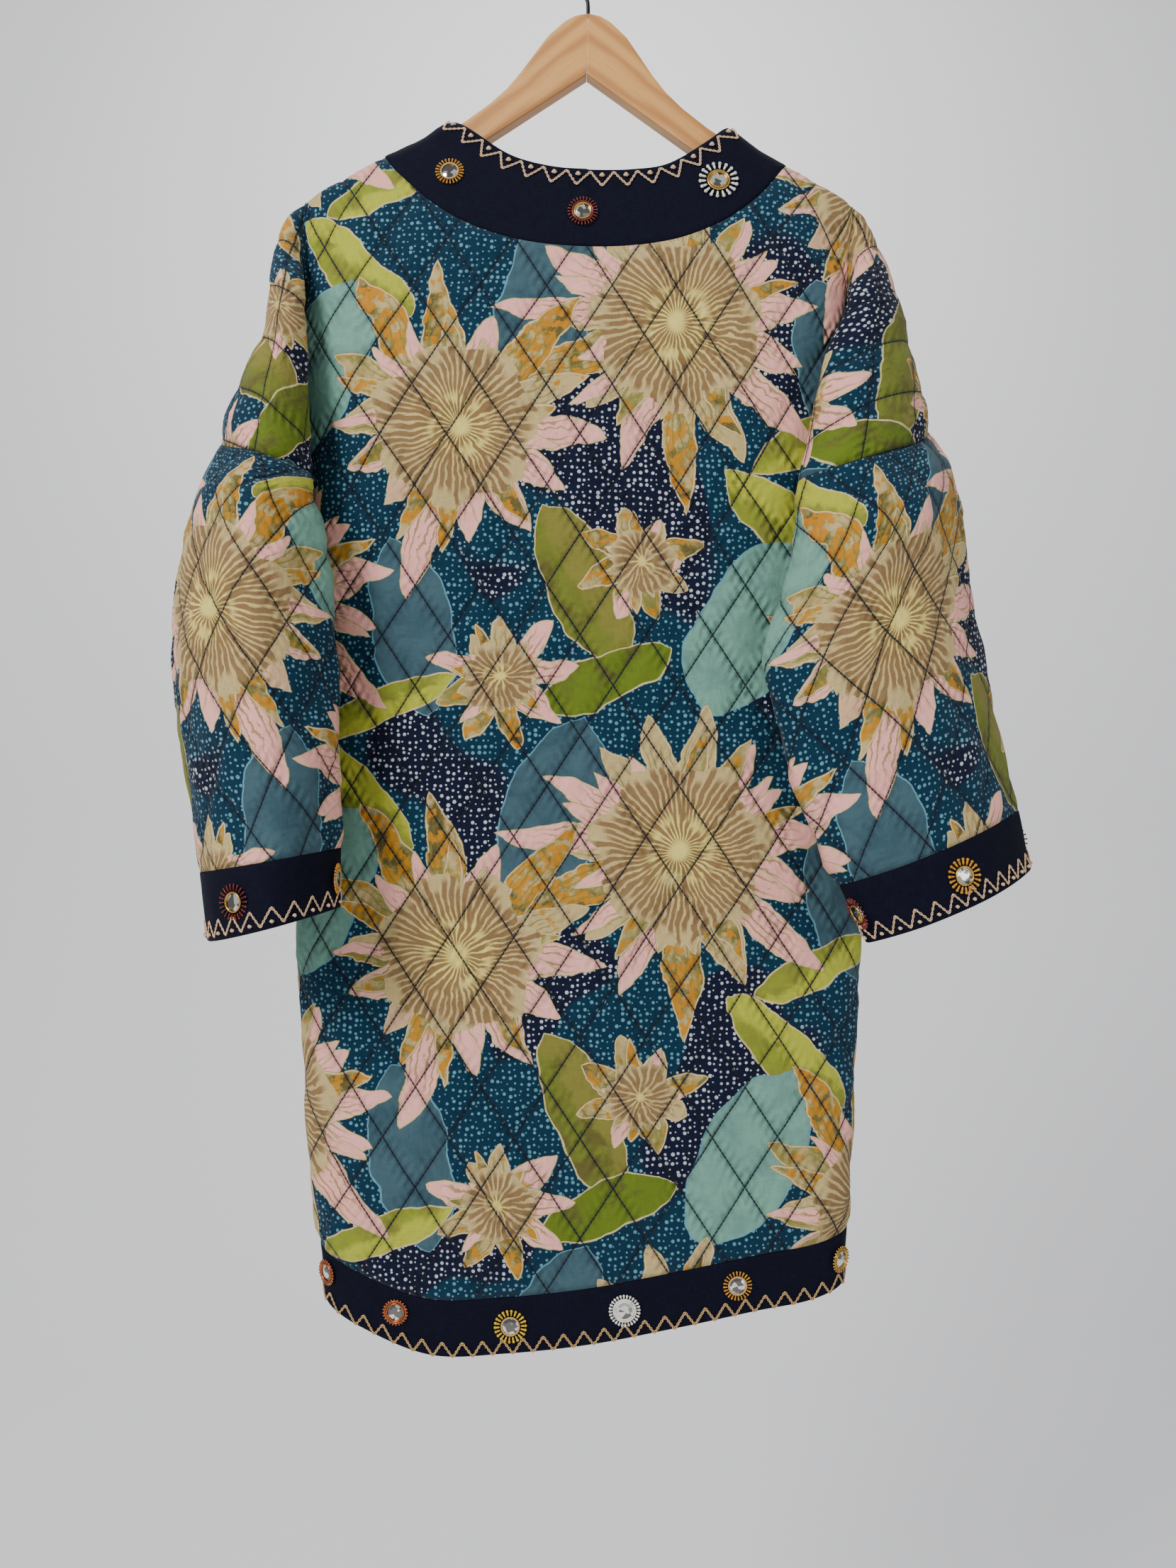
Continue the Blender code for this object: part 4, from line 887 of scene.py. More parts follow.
def petals(colour, out, angle, mottle, fine, radius, count, turn, seed):
    """One ring of a flower's petals, each with its own length and dye."""
    turned = angle * (count / (2 * math.pi)) + (turn + 50)
    lot, other = chance(turned.floor() + seed), chance(turned.floor() + (seed + 31))
    share = (out / ((lot * 0.44 + 0.62) * radius)) & 1.0
    aside = abs(turned.fract() - 0.5) * out * (2 * math.pi / count)
    belly = (1 - share**3.0) * (share * 0.4 + 0.6) * (radius * math.pi / count * 0.7)
    edge = belly * (fine * 0.36 + 0.82) - aside - share.step(0.94, 1.0)
    shade = (mottle * 0.7 + fine * 0.3).step(0.36, 0.62)
    inner = mix(dye("sand"), dye("olive"), lot.step(0.38, 0.44) * shade)
    inner = mix(inner, dye("bark"), lot.step(0.62, 0.66) * (mottle + fine * 0.3).step(0.58, 0.76) * 0.85)
    inner = mix(inner, dye("mustard"), (fine + lot * 0.25).step(0.68, 0.76) * 0.9)
    inner = mix(inner, dye("pink"), other.step(0.56, 0.6) * share.step(0.42, 0.5))
    streak = (aside * 0.2 + fine * 1.4 + share * 0.6).fract().step(0.66, 0.78) * share.step(0.86, 0.62)
    inner = mix(inner, dye("olive"), streak * 0.75)
    inner = mix(dye("stripe"), mix(dye("pale"), inner, edge.step(1.0, 1.8)), edge.step(0.1, 0.6))
    return mix(colour, inner, edge.step(-0.3, 0.3))


def bloom(colour, u, v, mottle, fine, x, y, radius, count, turn):
    """A round flower: two rings of long petals, and a heart with brown rays of uneven length."""
    across, up = repeat(u, v, x, y)
    out = (across * across + up * up).sum("SQRT")
    angle = up.sum("ARCTAN2", across)
    colour = petals(colour, out, angle, mottle, fine, radius, count, turn, x)
    colour = petals(colour, out, angle, mottle, fine, radius * 0.74, count + 3, turn + 0.37, y)
    ragged = (angle * 7 + turn).sin() * (radius * 0.03) + (fine - 0.5) * 12
    heart = mix(dye("heart"), dye("sand"), (out + mottle * 20).step(radius * 0.16, radius * 0.4))
    heart = mix(heart, dye("pale"), mottle.step(0.52, 0.66) * 0.4)
    for share, low, high in ((0.2, 0.03, 0.22), (0.4, 0.15, 0.46)):
        ray_count = round(radius * share)
        turned = angle * (ray_count / (2 * math.pi)) + (fine - 0.5) * 0.7 + (50 + share)
        length = chance(turned.floor() + x) * (radius * 0.14) + radius * (high - 0.1)
        ends = out.step(radius * low, radius * (low + 0.05)) * (length - out).step(-4.0, 4.0)
        wide = (fine * 0.5 + 0.08) & 0.42
        ray = (wide - abs(turned.fract() - 0.5)).step(-0.07, 0.07)
        heart = mix(heart, dye("stripe"), ray * ends * 0.95)
    edge = ragged + radius * 0.44 - out
    return mix(colour, heart, edge.step(-0.5, 0.5))


def dots(u, v, pitch, least, most, scatter):
    """Round dots, one to a cell, of uneven size; least and most are shares of the pitch."""
    cells = node(
        "TexVoronoi", {"voronoi_dimensions": "2D"},
        {"Vector": vector(u / pitch, v / pitch), "Scale": 1.0, "Randomness": scatter},
    )
    lot = Value(node("SeparateXYZ", None, {0: cells.outputs["Color"]}).outputs[0])
    reach = lot**1.4 * (most - least) + least
    return (reach - Value(cells.outputs["Distance"])).step(-0.05, 0.05)


print("print motifs ready")

# %% [markdown]
# # Weave and quilting thread
# The cloth is a slubby linen: some threads are thicker, and they darken the print a little. The layers are
# held by diamonds of dark running stitch, and the cloth puckers in small ripples where the thread pulls.

# %% Weave and quilting
STITCH_LONG, STITCH_WIDE = 3.4, 0.85
PUCKER_LONG, PUCKER_WIDE = 7.5, 13.0
QUILT_LINE = QUILT_WIDE * QUILT_TALL / math.hypot(QUILT_WIDE, QUILT_TALL)
SLUB_LONG = 14
FULL_TURN = 2 * math.pi


def weave(u, v, size):
    """Slubby threads, as (shade from 0 to 1, height in millimetres)."""
    weft = cloud(vector(u / (size * SLUB_LONG), v / size), 1.0, 1.0)
    warp = cloud(vector(u / size, v / (size * SLUB_LONG), 7.0), 1.0, 1.0)
    grid = (u * (FULL_TURN / (size * 2.2))).sin() * (v * (FULL_TURN / (size * 2.2))).sin()
    return weft * 0.5 + warp * 0.5, weft * 0.14 + warp * 0.14 + grid * 0.05


def quilting(u, v):
    """The distance from the nearest quilting line, where its stitches lie, and the pucker beside them."""
    side_long = math.hypot(QUILT_WIDE, QUILT_TALL) / 2
    across, up = (u - QUILT_SHIFT[0]) / QUILT_WIDE, (v - QUILT_SHIFT[1]) / QUILT_TALL
    lines = (across + up, across - up)
    far, stitch, pucker = [], [], []
    for line, other in (lines, lines[::-1]):
        here = abs((line + 0.5).fract() - 0.5) * QUILT_LINE
        far.append(here)
        dash = abs((other * (side_long / STITCH_LONG)).fract() - 0.5).step(0.49, 0.43)
        stitch.append(dash * here.step(STITCH_WIDE, STITCH_WIDE * 0.55))
        turn = (line + 0.5).floor() * 2.1
        wave = (other * (side_long / PUCKER_LONG * FULL_TURN) + turn).sin()
        pucker.append(wave * here.step(PUCKER_WIDE, 0.5))
    return far[0] & far[1], stitch[0] | stitch[1], pucker[0] + pucker[1]


print("quilting lines lie", round(QUILT_LINE, 1), "mm apart")

# %% [markdown]
# # The cloths
# The outer cloth takes the print, then the weave, then the thread. Its inside is plain. The bands are a
# plain dark navy weave. All read the flat pattern that each piece carries as its UV map, so the print runs
# over the folds as real cloth does.

# %% The cloths
BLACK = (0.0, 0.0, 0.0)
QUILT_THREAD = seen(12, 16, 34)


def printed_linen():
    made, shader = begin("printed_linen")
    u, v = flat_place()
    spot = vector(u, v)
    slow, other = cloud(spot, 1 / 46, 2.0), cloud(vector(u, v, 90.0), 1 / 46, 2.0)
    fine, mottle = cloud(spot, 1 / 9, 3.0), cloud(spot, 1 / 22, 4.0, 0.6, 0.6)
    dark = cloud(vector(u, v, 31.0), 1 / 120, 1.0).step(0.53, 0.56)
    slow_u, slow_v = u + (slow - 0.5) * 20, v + (other - 0.5) * 20
    ground = mix(dye("teal"), dye("navy"), dark)
    colour = mix(ground, mix(dye("teal dot"), dye("navy dot"), dark), dots(u, v, **DOTS) * 0.9)
    hand_u, hand_v = slow_u + (fine - 0.5) * 2.0, slow_v + (fine - 0.5) * 2.0
    for row in LEAVES["rows"]:
        colour = leaf(colour, hand_u, hand_v, mottle, *row)
    for row in BLOOMS["rows"]:
        colour = bloom(colour, hand_u, hand_v, mottle, fine, *row)
    shade, height = weave(u, v, 0.75)
    weft_slub = cloud(vector(u / SLUB_LONG, v / 1.3, 3.0), 1.0, 0.0)
    slub = weft_slub | cloud(vector(u / 1.3, v / SLUB_LONG, 5.0), 1.0, 0.0)
    colour = mix(BLACK, colour, (shade * 0.7 + slub * 0.3 + 0.48) & 1.0)
    far, stitch, pucker = quilting(u, v)
    # Painted shade: the print is darkened within a few millimetres of each quilting line, where the cloth
    # dips, and in the low troughs of the puckers
    colour = mix(colour, BLACK, far.step(4.0, 0.3) * 0.2 + pucker.step(0.2, -0.9) * 0.1)
    colour = mix(colour, QUILT_THREAD, stitch * 0.94)
    crumple = cloud(spot, 1 / 15, 2.0, 0.55, 0.4)
    relief = height + slub * 0.1 + pucker * 0.5 + crumple * 2.6 + far.step(0.0, 2.6) * 0.6
    finish(shader, colour, relief, Roughness=0.85, Specular_IOR_Level=0.18, Sheen_Weight=0.05)
    return made


def plain_weave(name, dark, light, size, **fixed):
    """A cloth of one dye, paler on its thicker threads."""
    made, shader = begin(name)
    u, v = flat_place()
    shade, height = weave(u, v, size)
    soft = cloud(vector(u, v), 1 / 18, 2.0)
    finish(shader, mix(dark, light, shade.step(0.3, 0.72)), height + soft * 0.8, 0.8, Roughness=0.88, **fixed)
    return made


printed = printed_linen()
lining_side = plain_weave("inside_cotton", seen(26, 44, 56), seen(56, 76, 86), 0.75)
navy = plain_weave("navy_band", seen(2, 3, 15), seen(9, 11, 34), 0.6, Specular_IOR_Level=0.15)
print("cloths:", printed.name, lining_side.name, navy.name)

# %% [markdown]
# # Wood, wire, thread, beads and glass
# The hanger is a pale wood under clear varnish: rings run along each arm, fine fibres across them. The
# embroidery thread has its own twist, the beads are small glass or metal, and the mirrors are cut glass.

# %% Hard finishes and thread
def varnished_wood():
    made, shader = begin("varnished_wood")
    x, y, z = object_place()
    along_arm, across_arm = abs(x) * 0.8 - z * 0.6, abs(x) * 0.6 + z * 0.8
    bend = cloud(vector(along_arm * 0.011, across_arm * 0.05, y * 0.05), 1.0, 2.0)
    rings = (across_arm * 0.42 + y * 0.12 + bend * 9).sin() * 0.5 + 0.5
    fibre = cloud(vector(along_arm * 0.05, across_arm * 1.5, y * 1.5), 1.0, 4.0, 0.65)
    colour = mix(seen(208, 152, 84), seen(168, 108, 50), rings**2.0 * 0.75)
    colour = mix(colour, seen(138, 84, 38), fibre.step(0.5, 0.8) * 0.5)
    finish(
        shader, colour, fibre * 0.05 + rings * 0.03, 0.5,
        Roughness=fibre * 0.16 + 0.34, Coat_Weight=0.25, Coat_Roughness=0.3,
    )
    return made


def twisted_thread(name, colour):
    made, shader = begin(name)
    spot = vector(*object_place())
    grain, slow = cloud(spot, 2.4, 2.0, 0.6), cloud(spot, 0.06, 1.0)
    dark, light = tuple(c * 0.5 for c in colour), tuple(min(1.0, c * 1.25) for c in colour)
    twisted = mix(dark, colour, grain.step(0.3, 0.6))
    finish(shader, mix(twisted, light, slow * 0.4), grain * 0.35, 0.8, Roughness=0.6, Sheen_Weight=0.2)
    return made


def bead_glass(name, colour, metal=0.0, rough=0.25, wear=0.3):
    """Beads, wire and mirror glass, a little uneven."""
    made, shader = begin(name)
    grain = cloud(vector(*object_place()), 0.24, 3.0)
    worn = tuple(c * (1 - wear) for c in colour)
    colour = mix(colour, worn, grain.step(0.4, 0.7))
    finish(shader, colour, Roughness=grain * 0.18 + (rough - 0.05), Metallic=metal)
    return made


def mirror_glass():
    """Cut glass: each facet's colour is a painted reflection, bright or dark, of a part of the room."""
    made, shader = begin("mirror_glass")
    cells = node("TexVoronoi", None, {"Vector": vector(*object_place()), "Scale": 0.24})
    lot = Value(node("SeparateXYZ", None, {0: cells.outputs["Color"]}).outputs[0])
    # Painted reflection: each facet is coloured bright or dark for what it would reflect
    colour = mix(seen(236, 234, 228), seen(70, 66, 62), lot.step(0.56, 0.6) * 0.85)
    finish(shader, colour, lot * 0.8, 0.4, Roughness=0.06, Metallic=1.0)
    return made


# Red, green and blue as seen, and how metallic the bead is
BEADS = {
    "mustard": (190, 132, 26, 0.0), "gold": (200, 160, 84, 0.9), "dark_red": (104, 30, 22, 0.0),
    "white": (228, 226, 218, 0.0), "copper": (168, 96, 56, 0.8), "yellow": (208, 172, 40, 0.0),
}
glass = mirror_glass()
tan_thread = twisted_thread("tan_thread", seen(190, 152, 96))
peach_thread = twisted_thread("peach_thread", seen(218, 180, 142))
trim_finishes = {"glass": glass, "tan": tan_thread}
for bead_name, (red, green, blue, metal) in BEADS.items():
    trim_finishes[bead_name] = bead_glass(bead_name + "_bead", seen(red, green, blue), metal)
hanger_wood = varnished_wood()
hook_wire = bead_glass("hook_wire", seen(20, 20, 22), 0.8, 0.35)
print("trim finishes:", ", ".join(trim_finishes))

# %% [markdown]
# # Cloth walls
# A quilted panel is a sheet with a pillow in each diamond, over soft folds of its own. It could be sculpted
# or simulated, but hanging cloth that was sewn to a pattern is simpler from its pattern: each flat point
# knows its place, so the sheet is filled with small triangles when flat, set in place and lifted by the
# quilting. Its inner face and its folded rim close it to a wall.

# %% Relief of the quilting
PUFF_FINE = 2.3
THREAD_DIP = 5.5
QUILT_THICK, BAND_THICK = 2.6, 2.4
FINE = 5.0
SLANT = np.array([[0.86, -0.5], [0.5, 0.86]])
NOISE = {}
NOISE_CELLS = 1024


def smooth(x, low=0.0, high=1.0):
    t = np.clip((np.asarray(x, float) - low) / (high - low), 0, 1)
    return t * t * (3 - 2 * t)


def noise(points, size, seed):
    """Smooth random values from -1 to 1 over flat points; size is the cell's width and height."""
    at = np.asarray(points, float) / np.asarray(size, float) + NOISE_CELLS // 2
    cell = np.floor(at).astype(int)
    t = at - cell
    t = t * t * (3 - 2 * t)
    if seed not in NOISE:
        NOISE[seed] = np.random.default_rng(seed).uniform(-1, 1, (NOISE_CELLS, NOISE_CELLS))
    table = NOISE[seed]
    x, y = (cell % (NOISE_CELLS - 1)).T
    low = table[x, y] * (1 - t[:, 0]) + table[x + 1, y] * t[:, 0]
    high = table[x, y + 1] * (1 - t[:, 0]) + table[x + 1, y + 1] * t[:, 0]
    return low * (1 - t[:, 1]) + high * t[:, 1]


def quilt_height(flat):
    """The pillow between the quilting lines, in millimetres."""
    u, z = flat[:, 0] - QUILT_SHIFT[0], flat[:, 1] - QUILT_SHIFT[1]
    lines = (u / QUILT_WIDE + z / QUILT_TALL, u / QUILT_WIDE - z / QUILT_TALL)
    rise = [1 - np.exp(-np.abs(x - np.round(x)) * QUILT_LINE / THREAD_DIP) for x in lines]
    return PUFF_FINE * rise[0] * rise[1]


def creases(flat, seed):
    """The cloth's own soft folds, in millimetres: long ones, slanted ones, small ones and sharp ridges."""
    slow = 2.6 * noise(flat, (62, 170), seed) + 1.5 * noise(flat @ SLANT, (30, 84), seed + 1)
    ridge = 1 - np.abs(noise(flat @ SLANT.T, (26, 58), seed + 3))
    return slow + 0.55 * noise(flat, (11, 17), seed + 2) + 1.5 * ridge**4 - 0.4


print("a pillow rises", PUFF_FINE, "mm over a triangle pitch of", FINE, "mm")

# %% A closed wall of cloth
def set_mesh(name, points, faces, uvs, finishes, slots):
    """An object from points in millimetres, with a flat map in metres for each face corner."""
    mesh = bpy.data.meshes.new(name)
    mesh.from_pydata((points * 0.001).tolist(), [], faces.tolist())
    layer = mesh.uv_layers.new(name="flat")
    layer.data.foreach_set("uv", (uvs.reshape(-1) * 0.001).astype(np.float32))
    for finish_used in finishes:
        mesh.materials.append(finish_used)
    mesh.polygons.foreach_set("material_index", slots.astype(np.int32))
    mesh.shade_smooth()
    made = bpy.data.objects.new(name, mesh)
    bpy.context.scene.collection.objects.link(made)
    return made


def shell(name, points, normals, faces, corner_uvs, thick, lift, finishes, face=None):
    """The outer face is lifted, the inner face is plain, and the rim is folded.

    Where the outer face sinks deep, the inner face sinks with it, so that the two never cross.
    """
    lift = np.asarray(lift)
    sunk = np.minimum(lift + thick / 2, 0)
    outer = points + normals * lift[:, None]
    inner = points + normals * (sunk - thick)[:, None]
    if face == "back":
        inner[:, 1] = np.minimum(inner[:, 1], -SEAM / 2)
    if face == "front":
        inner[:, 1] = np.maximum(inner[:, 1], SEAM / 2)
    n = len(points)
    ends = np.concatenate([faces[:, [0, 1]], faces[:, [1, 2]], faces[:, [2, 0]]])
    key = ends[:, 0].astype(np.int64) * n + ends[:, 1]
    back = ends[:, 1].astype(np.int64) * n + ends[:, 0]
    rim = ends[~np.isin(key, back)]
    where = {}
    for corner in range(3):
        for f in np.nonzero(np.isin(faces[:, corner], rim.ravel()))[0]:
            where.setdefault(int(faces[f, corner]), corner_uvs[f, corner])
    sides, side_uvs = [], []
    for a, b in rim:
        sides += [(b, a, a + n), (b, a + n, b + n)]
        side_uvs += [(where[b], where[a], where[a]), (where[b], where[a], where[b])]
    whole = np.concatenate([faces, faces[:, ::-1] + n, np.array(sides, int).reshape(-1, 3)])
    uvs = np.concatenate([corner_uvs, corner_uvs[:, ::-1], np.array(side_uvs).reshape(-1, 3, 2)])
    slots = np.concatenate([np.zeros(len(faces)), np.ones(len(faces)), np.zeros(len(sides))])
    return set_mesh(name, np.concatenate([outer, inner]), whole, uvs, finishes, slots)


def declare(made, node_name, span, area):
    """Attaches the piece and hides the part that it replaces; the flat cloth's width, length and cut area are
    worked out but not kept.
    """
    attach(made, "root")
    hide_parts(node_name)
    span[0] * 0.001
    span[1] * 0.001
    min(area, span[0] * span[1]) * 1e-6
    print(made.name, len(made.data.polygons), "faces,", round(area * 1e-6, 3), "square metres")


print("walls are", QUILT_THICK, "and", BAND_THICK, "mm thick")

# %% [markdown]
# # The back and the fronts
# Each panel is cut in one piece with its dropped shoulders: the hem, the flank, the armhole's seam, the
# slope of the shoulder and the neck make its outline. The outline is resampled at an even pitch and filled.

# %% Outlines of the panels
def resample(line, step):
    """A line's points at an even pitch, the last one left out."""
    count = max(2, round(length_of(line) / step))
    return by_length(line, np.linspace(0, 1, count + 1))[:-1]


def side_edges(side, face):
    """One side of a panel, from the hem's corner up to the neck seam, as dense flat lines."""
    under = underarm_flat(side)
    z = np.linspace(hem_seam_height(SIGNS[side]), under[1], 160)
    flank = np.stack([half_at(side, z), z], axis=1)
    share = np.linspace(0, 1, 120)
    seam = arm_flat(side, face, seam_down(side, share), share)
    slope = np.linspace(seam[-1], tip_flat(side), 40)
    x = np.linspace(TIP[side][0], band_corner(side), 40)
    height = ridge_at(side, x)
    ridge = np.stack([flat_u(side, x, height), height], axis=1)
    return [flank, seam, slope, ridge]


def hem_seam(places):
    return np.stack([places, hem_at(places / ROUND_GAIN) + HEM_BAND], axis=1)


def back_outline():
    seam = neck_lines(np.linspace(0, 1, 200))[0]
    parts = [resample(hem_seam(np.linspace(hem_corner(-1), hem_corner(1), 200)), FINE)]
    parts += [resample(line, FINE) for line in side_edges("right", "back")]
    parts.append(resample(seam[::-1], FINE))
    parts += [resample(line[::-1] * (-1, 1), FINE) for line in side_edges("left", "back")[::-1]]
    return np.concatenate(parts)


def front_outline(sign):
    seam = front_lines(sign, np.linspace(0, 1, 240))[0]
    parts = [resample(hem_seam(np.linspace(seam[-1][0], hem_corner(sign), 100)), FINE)]
    parts += [resample(line * (sign, 1), FINE) for line in side_edges(side_of(sign), "front")]
    parts.append(resample(seam, FINE))
    outline = np.concatenate(parts)
    return outline if sign > 0 else outline[::-1]


print("the back's outline has", len(back_outline()), "points")

# %% Filling and placing a panel
# Folds grow from calm to full between two distances: in from the outline, and down from the hook
EDGE_CALM, NECK_CALM, FRONT_CALM = (1.0, 16.0), (160, 320), (10.0, 70.0)
# How far in from the outline the pillows are full
PUFF_START = {"back": 9, "front": 40}


def fill(outline, step):
    """A flat pattern cut into small triangles, as (points, faces).

    Triangles that bridge a hollow of the outline, as at the underarm, are left out.
    """
    low, high = outline.min(axis=0), outline.max(axis=0)
    rows = []
    for k, z in enumerate(np.arange(low[1], high[1], step * 0.9)):
        u = np.arange(low[0] + step / 2 * (k % 2), high[0], step)
        rows.append(np.stack([u, np.full_like(u, z)], axis=1))
    points = np.concatenate(rows)
    points = points[inside(outline, points)]
    points = points[far_from(outline, points) > step * 0.5]
    flat = np.concatenate([outline, points])
    edges = [(k, (k + 1) % len(outline)) for k in range(len(outline))]
    made = delaunay_2d_cdt([Vector(p) for p in flat], edges, [], 1, 1e-6, False)
    flat = np.array([tuple(p) for p in made[0]])
    faces = np.array([f for f in made[2] if len(f) == 3])
    a, b, c = (flat[faces[:, k]] for k in range(3))
    turn = (b[:, 0] - a[:, 0]) * (c[:, 1] - a[:, 1]) - (b[:, 1] - a[:, 1]) * (c[:, 0] - a[:, 0])
    faces[turn < 0] = faces[turn < 0][:, ::-1]
    return flat, faces[(np.abs(turn) > 1e-6) & inside(outline, flat[faces].mean(axis=1))]


def panel(name, node_name, outline, face, seed):
    """One quilted panel."""
    flat, faces = fill(outline, FINE)
    points = place(face, flat)
    if face == "front":
        faces = faces[:, ::-1]
    normals = vertex_normals(points, faces)
    edge = far_from(outline, flat)
    calm = smooth(edge, *EDGE_CALM) * smooth(np.abs(flat[:, 1]), *NECK_CALM)
    if face == "front":
        calm = calm * smooth(edge, *FRONT_CALM) * 0.6
    lift = quilt_height(flat) * smooth(edge, 0, PUFF_START[face]) + creases(flat, seed) * calm
    made = shell(name, points, normals, faces, flat[faces], QUILT_THICK, lift, [printed, lining_side], face)
    u, z = outline.T
    area = 0.5 * abs(np.dot(u, np.roll(z, 1)) - np.dot(z, np.roll(u, 1)))
    declare(made, node_name, outline.max(axis=0) - outline.min(axis=0), area)


panel("cloth_back", "back", back_outline(), "back", 11)
for side, sign in SIGNS.items():
    panel("cloth_front_" + side, "front_" + side, front_outline(sign), "front", 21 + sign)

# %% [markdown]
# # The bands
# Each band is a folded strip: two flat lines, the seam and the free edge, and a ladder of points between
# them that stands closer at both edges, where the fold turns. A low welt runs beside the seam.

# %% Bands
WRINKLE, WRINKLE_CELL = 0.4, (9, 12)
WELT_RISE, WELT_AT, WELT_WIDE = 0.5, 4.0, 3.0
FOLD_ROUND = 1.1


def grid_faces(rows, columns, closed=False):
    """The triangles of a grid of points, which may be closed round its columns."""
    i, j = np.meshgrid(np.arange(rows - 1), np.arange(columns if closed else columns - 1), indexing="ij")
    a = (i * columns + j).ravel()
    b = (i * columns + (j + 1) % columns).ravel()
    halves = (a, b, b + columns), (a, b + columns, a + columns)
    return np.concatenate([np.stack(half, axis=1) for half in halves])


def rounded(distance, radius):
    """How far a folded edge drops at a distance from it."""
    d = np.clip(distance, 0, radius)
    return radius - np.sqrt(np.maximum(radius**2 - (radius - d) ** 2, 0))


def ladder(start, stop, rows):
    """Flat lines from one to the other, closer together at both edges."""
    at = 0.5 - 0.5 * np.cos(np.linspace(0, math.pi, rows))
    return start + (stop - start) * at[:, None, None]


def band(name, node_name, lines, face, seed, flip):
    """A band between flat lines: lines is (rows, columns, 2), the seam first."""
    rows, columns = lines.shape[:2]
    flat = lines.reshape(-1, 2)
    points, normals = place(face, flat), place_normal(face, flat)
    faces = grid_faces(rows, columns)
    faces = faces[:, ::-1] if flip else faces
    across = np.linalg.norm(lines - lines[:1], axis=2)
    nearest = np.minimum(across, across[-1:] - across).ravel()
    lift = WRINKLE * noise(flat, WRINKLE_CELL, seed) * smooth(nearest, 0, 6) - rounded(nearest, FOLD_ROUND)
    welt = np.exp(-(((across - WELT_AT) / WELT_WIDE) ** 2)).ravel()
    lift += WELT_RISE * welt * (0.6 + 0.4 * noise(flat, (7, 7), seed + 1))
    made = shell(name, points, normals, faces, flat[faces], BAND_THICK, lift, [navy, navy], face)
    long, tall = length_of(lines[rows // 2]), float(across[-1].mean())
    declare(made, node_name, (long, tall), long * tall)


def hem_band_lines(low, high, columns, rows=14):
    u = np.linspace(low, high, columns)
    bottom = hem_at(u / ROUND_GAIN)
    lines = ladder(np.stack([u, bottom + HEM_BAND - SEAM], axis=1), np.stack([u, bottom], axis=1), rows)
    return stretch_to_sides(lines, low == hem_corner(-1), high == hem_corner(1))


seam, edge = neck_lines(np.linspace(0, 1, 190))
band("cloth_neck_band", "neck_band", ladder(gap_from(seam, edge), edge, 16), "back", 51, False)
for side, sign in SIGNS.items():
    seam, edge = front_lines(sign, np.linspace(0, 1, 240))
    lines = ladder(gap_from(seam, edge), edge, 14)
    band("cloth_front_band_" + side, "front_band_" + side, lines, "front", 41 + sign, sign > 0)
hem_low, hem_high, front_gap = hem_corner(-1), hem_corner(1), FRONT_EDGE["rows"][-1][0]
band("cloth_hem_band_back", "hem_band_back", hem_band_lines(hem_low, hem_high, 150), "back", 52, True)
lines = hem_band_lines(hem_low, -front_gap, 80)
band("cloth_hem_band_left", "hem_band_front_left", lines, "front", 53, False)
lines = hem_band_lines(front_gap, hem_high, 80)
band("cloth_hem_band_right", "hem_band_front_right", lines, "front", 54, False)

# %% [markdown]
# # The sleeves and cuffs
# A hanging sleeve is a flattened tube whose section changes as it falls. Its sections are joined by smooth
# lines down its length. The cuff band is the last part of the same tube, with its own wall and a folded edge.

# %% Sleeves and cuffs
SLEEVE_TOP = -260.0
SLEEVE_COLUMNS = ((48, 40))
SLEEVE_ROWS = 72
CUFF_ROWS = 12
CUFF_ROUND, CUFF_PROUD = 1.0, 0.4


def fine_sleeve(side, at, back_columns, front_columns):
    """The sleeve's points at fractions of its length, as (rows, columns, xyz)."""
    fractions, rows = sleeve_rows(side, back_columns, front_columns)
    columns = range(rows.shape[1])
    lines = [np.stack([hermite(at, fractions, rows[:, c, k]) for k in range(3)], axis=1) for c in columns]
    return np.stack(lines, axis=1)


def sleeve_flat(grid, back_columns):
    """The sleeve's flat map: across from the outer edge and down along it, with the seam column twice."""
    closed = np.concatenate([grid, grid[:, :1]], axis=1)
    around = np.linalg.norm(np.diff(closed, axis=1), axis=2)
    arc = np.concatenate([np.zeros((len(grid), 1)), np.cumsum(around, axis=1)], axis=1)
    u = arc - arc[:, back_columns:back_columns + 1]
    steps = np.linalg.norm(np.diff(closed, axis=0), axis=2).mean(axis=1)
    down = np.concatenate([[0], np.cumsum(steps)])
    return np.stack([u, SLEEVE_TOP - np.repeat(down[:, None], closed.shape[1], axis=1)], axis=2)


def tube(name, node_name, side, at, seed, cuff):
    """A length of sleeve as a closed tube of cloth: quilted, or a plain cuff."""
    grid = fine_sleeve(side, at, *SLEEVE_COLUMNS)
    if not cuff:
        grid[0, :, 2] -= SEAM
    flat = sleeve_flat(grid, SLEEVE_COLUMNS[0])
    rows, columns = grid.shape[:2]
    faces = grid_faces(rows, columns, True)
    corner_uvs = flat.reshape(-1, 2)[grid_faces(rows, columns + 1)]
    if side == "right":
        faces, corner_uvs = faces[:, ::-1], corner_uvs[:, ::-1]
    points = grid.reshape(-1, 3)
    normals = vertex_normals(points, faces)
    here = flat[:, :-1].reshape(-1, 2)
    down = SLEEVE_TOP - here[:, 1]
    tall, nearest = float(down.max()), np.minimum(down, down.max() - down)
    if cuff:
        lift = WRINKLE * noise(here, WRINKLE_CELL, seed) * smooth(nearest, 0, 6)
        lift = lift - rounded(nearest, CUFF_ROUND) + CUFF_PROUD
        thick, cloths, slot = BAND_THICK, [navy, navy], "band_cloth"
    else:
        lift = quilt_height(here) * smooth(nearest, 0, 8) + creases(here, seed) * smooth(nearest, 0, 14) * 0.9
        thick, cloths, slot = QUILT_THICK, [printed, lining_side], "quilted_cloth"
    made = shell(name, points, normals, faces, corner_uvs, thick, lift, cloths)
    around = float(here[:, 0].max() - here[:, 0].min())
    declare(made, node_name, (around, tall), around * tall)


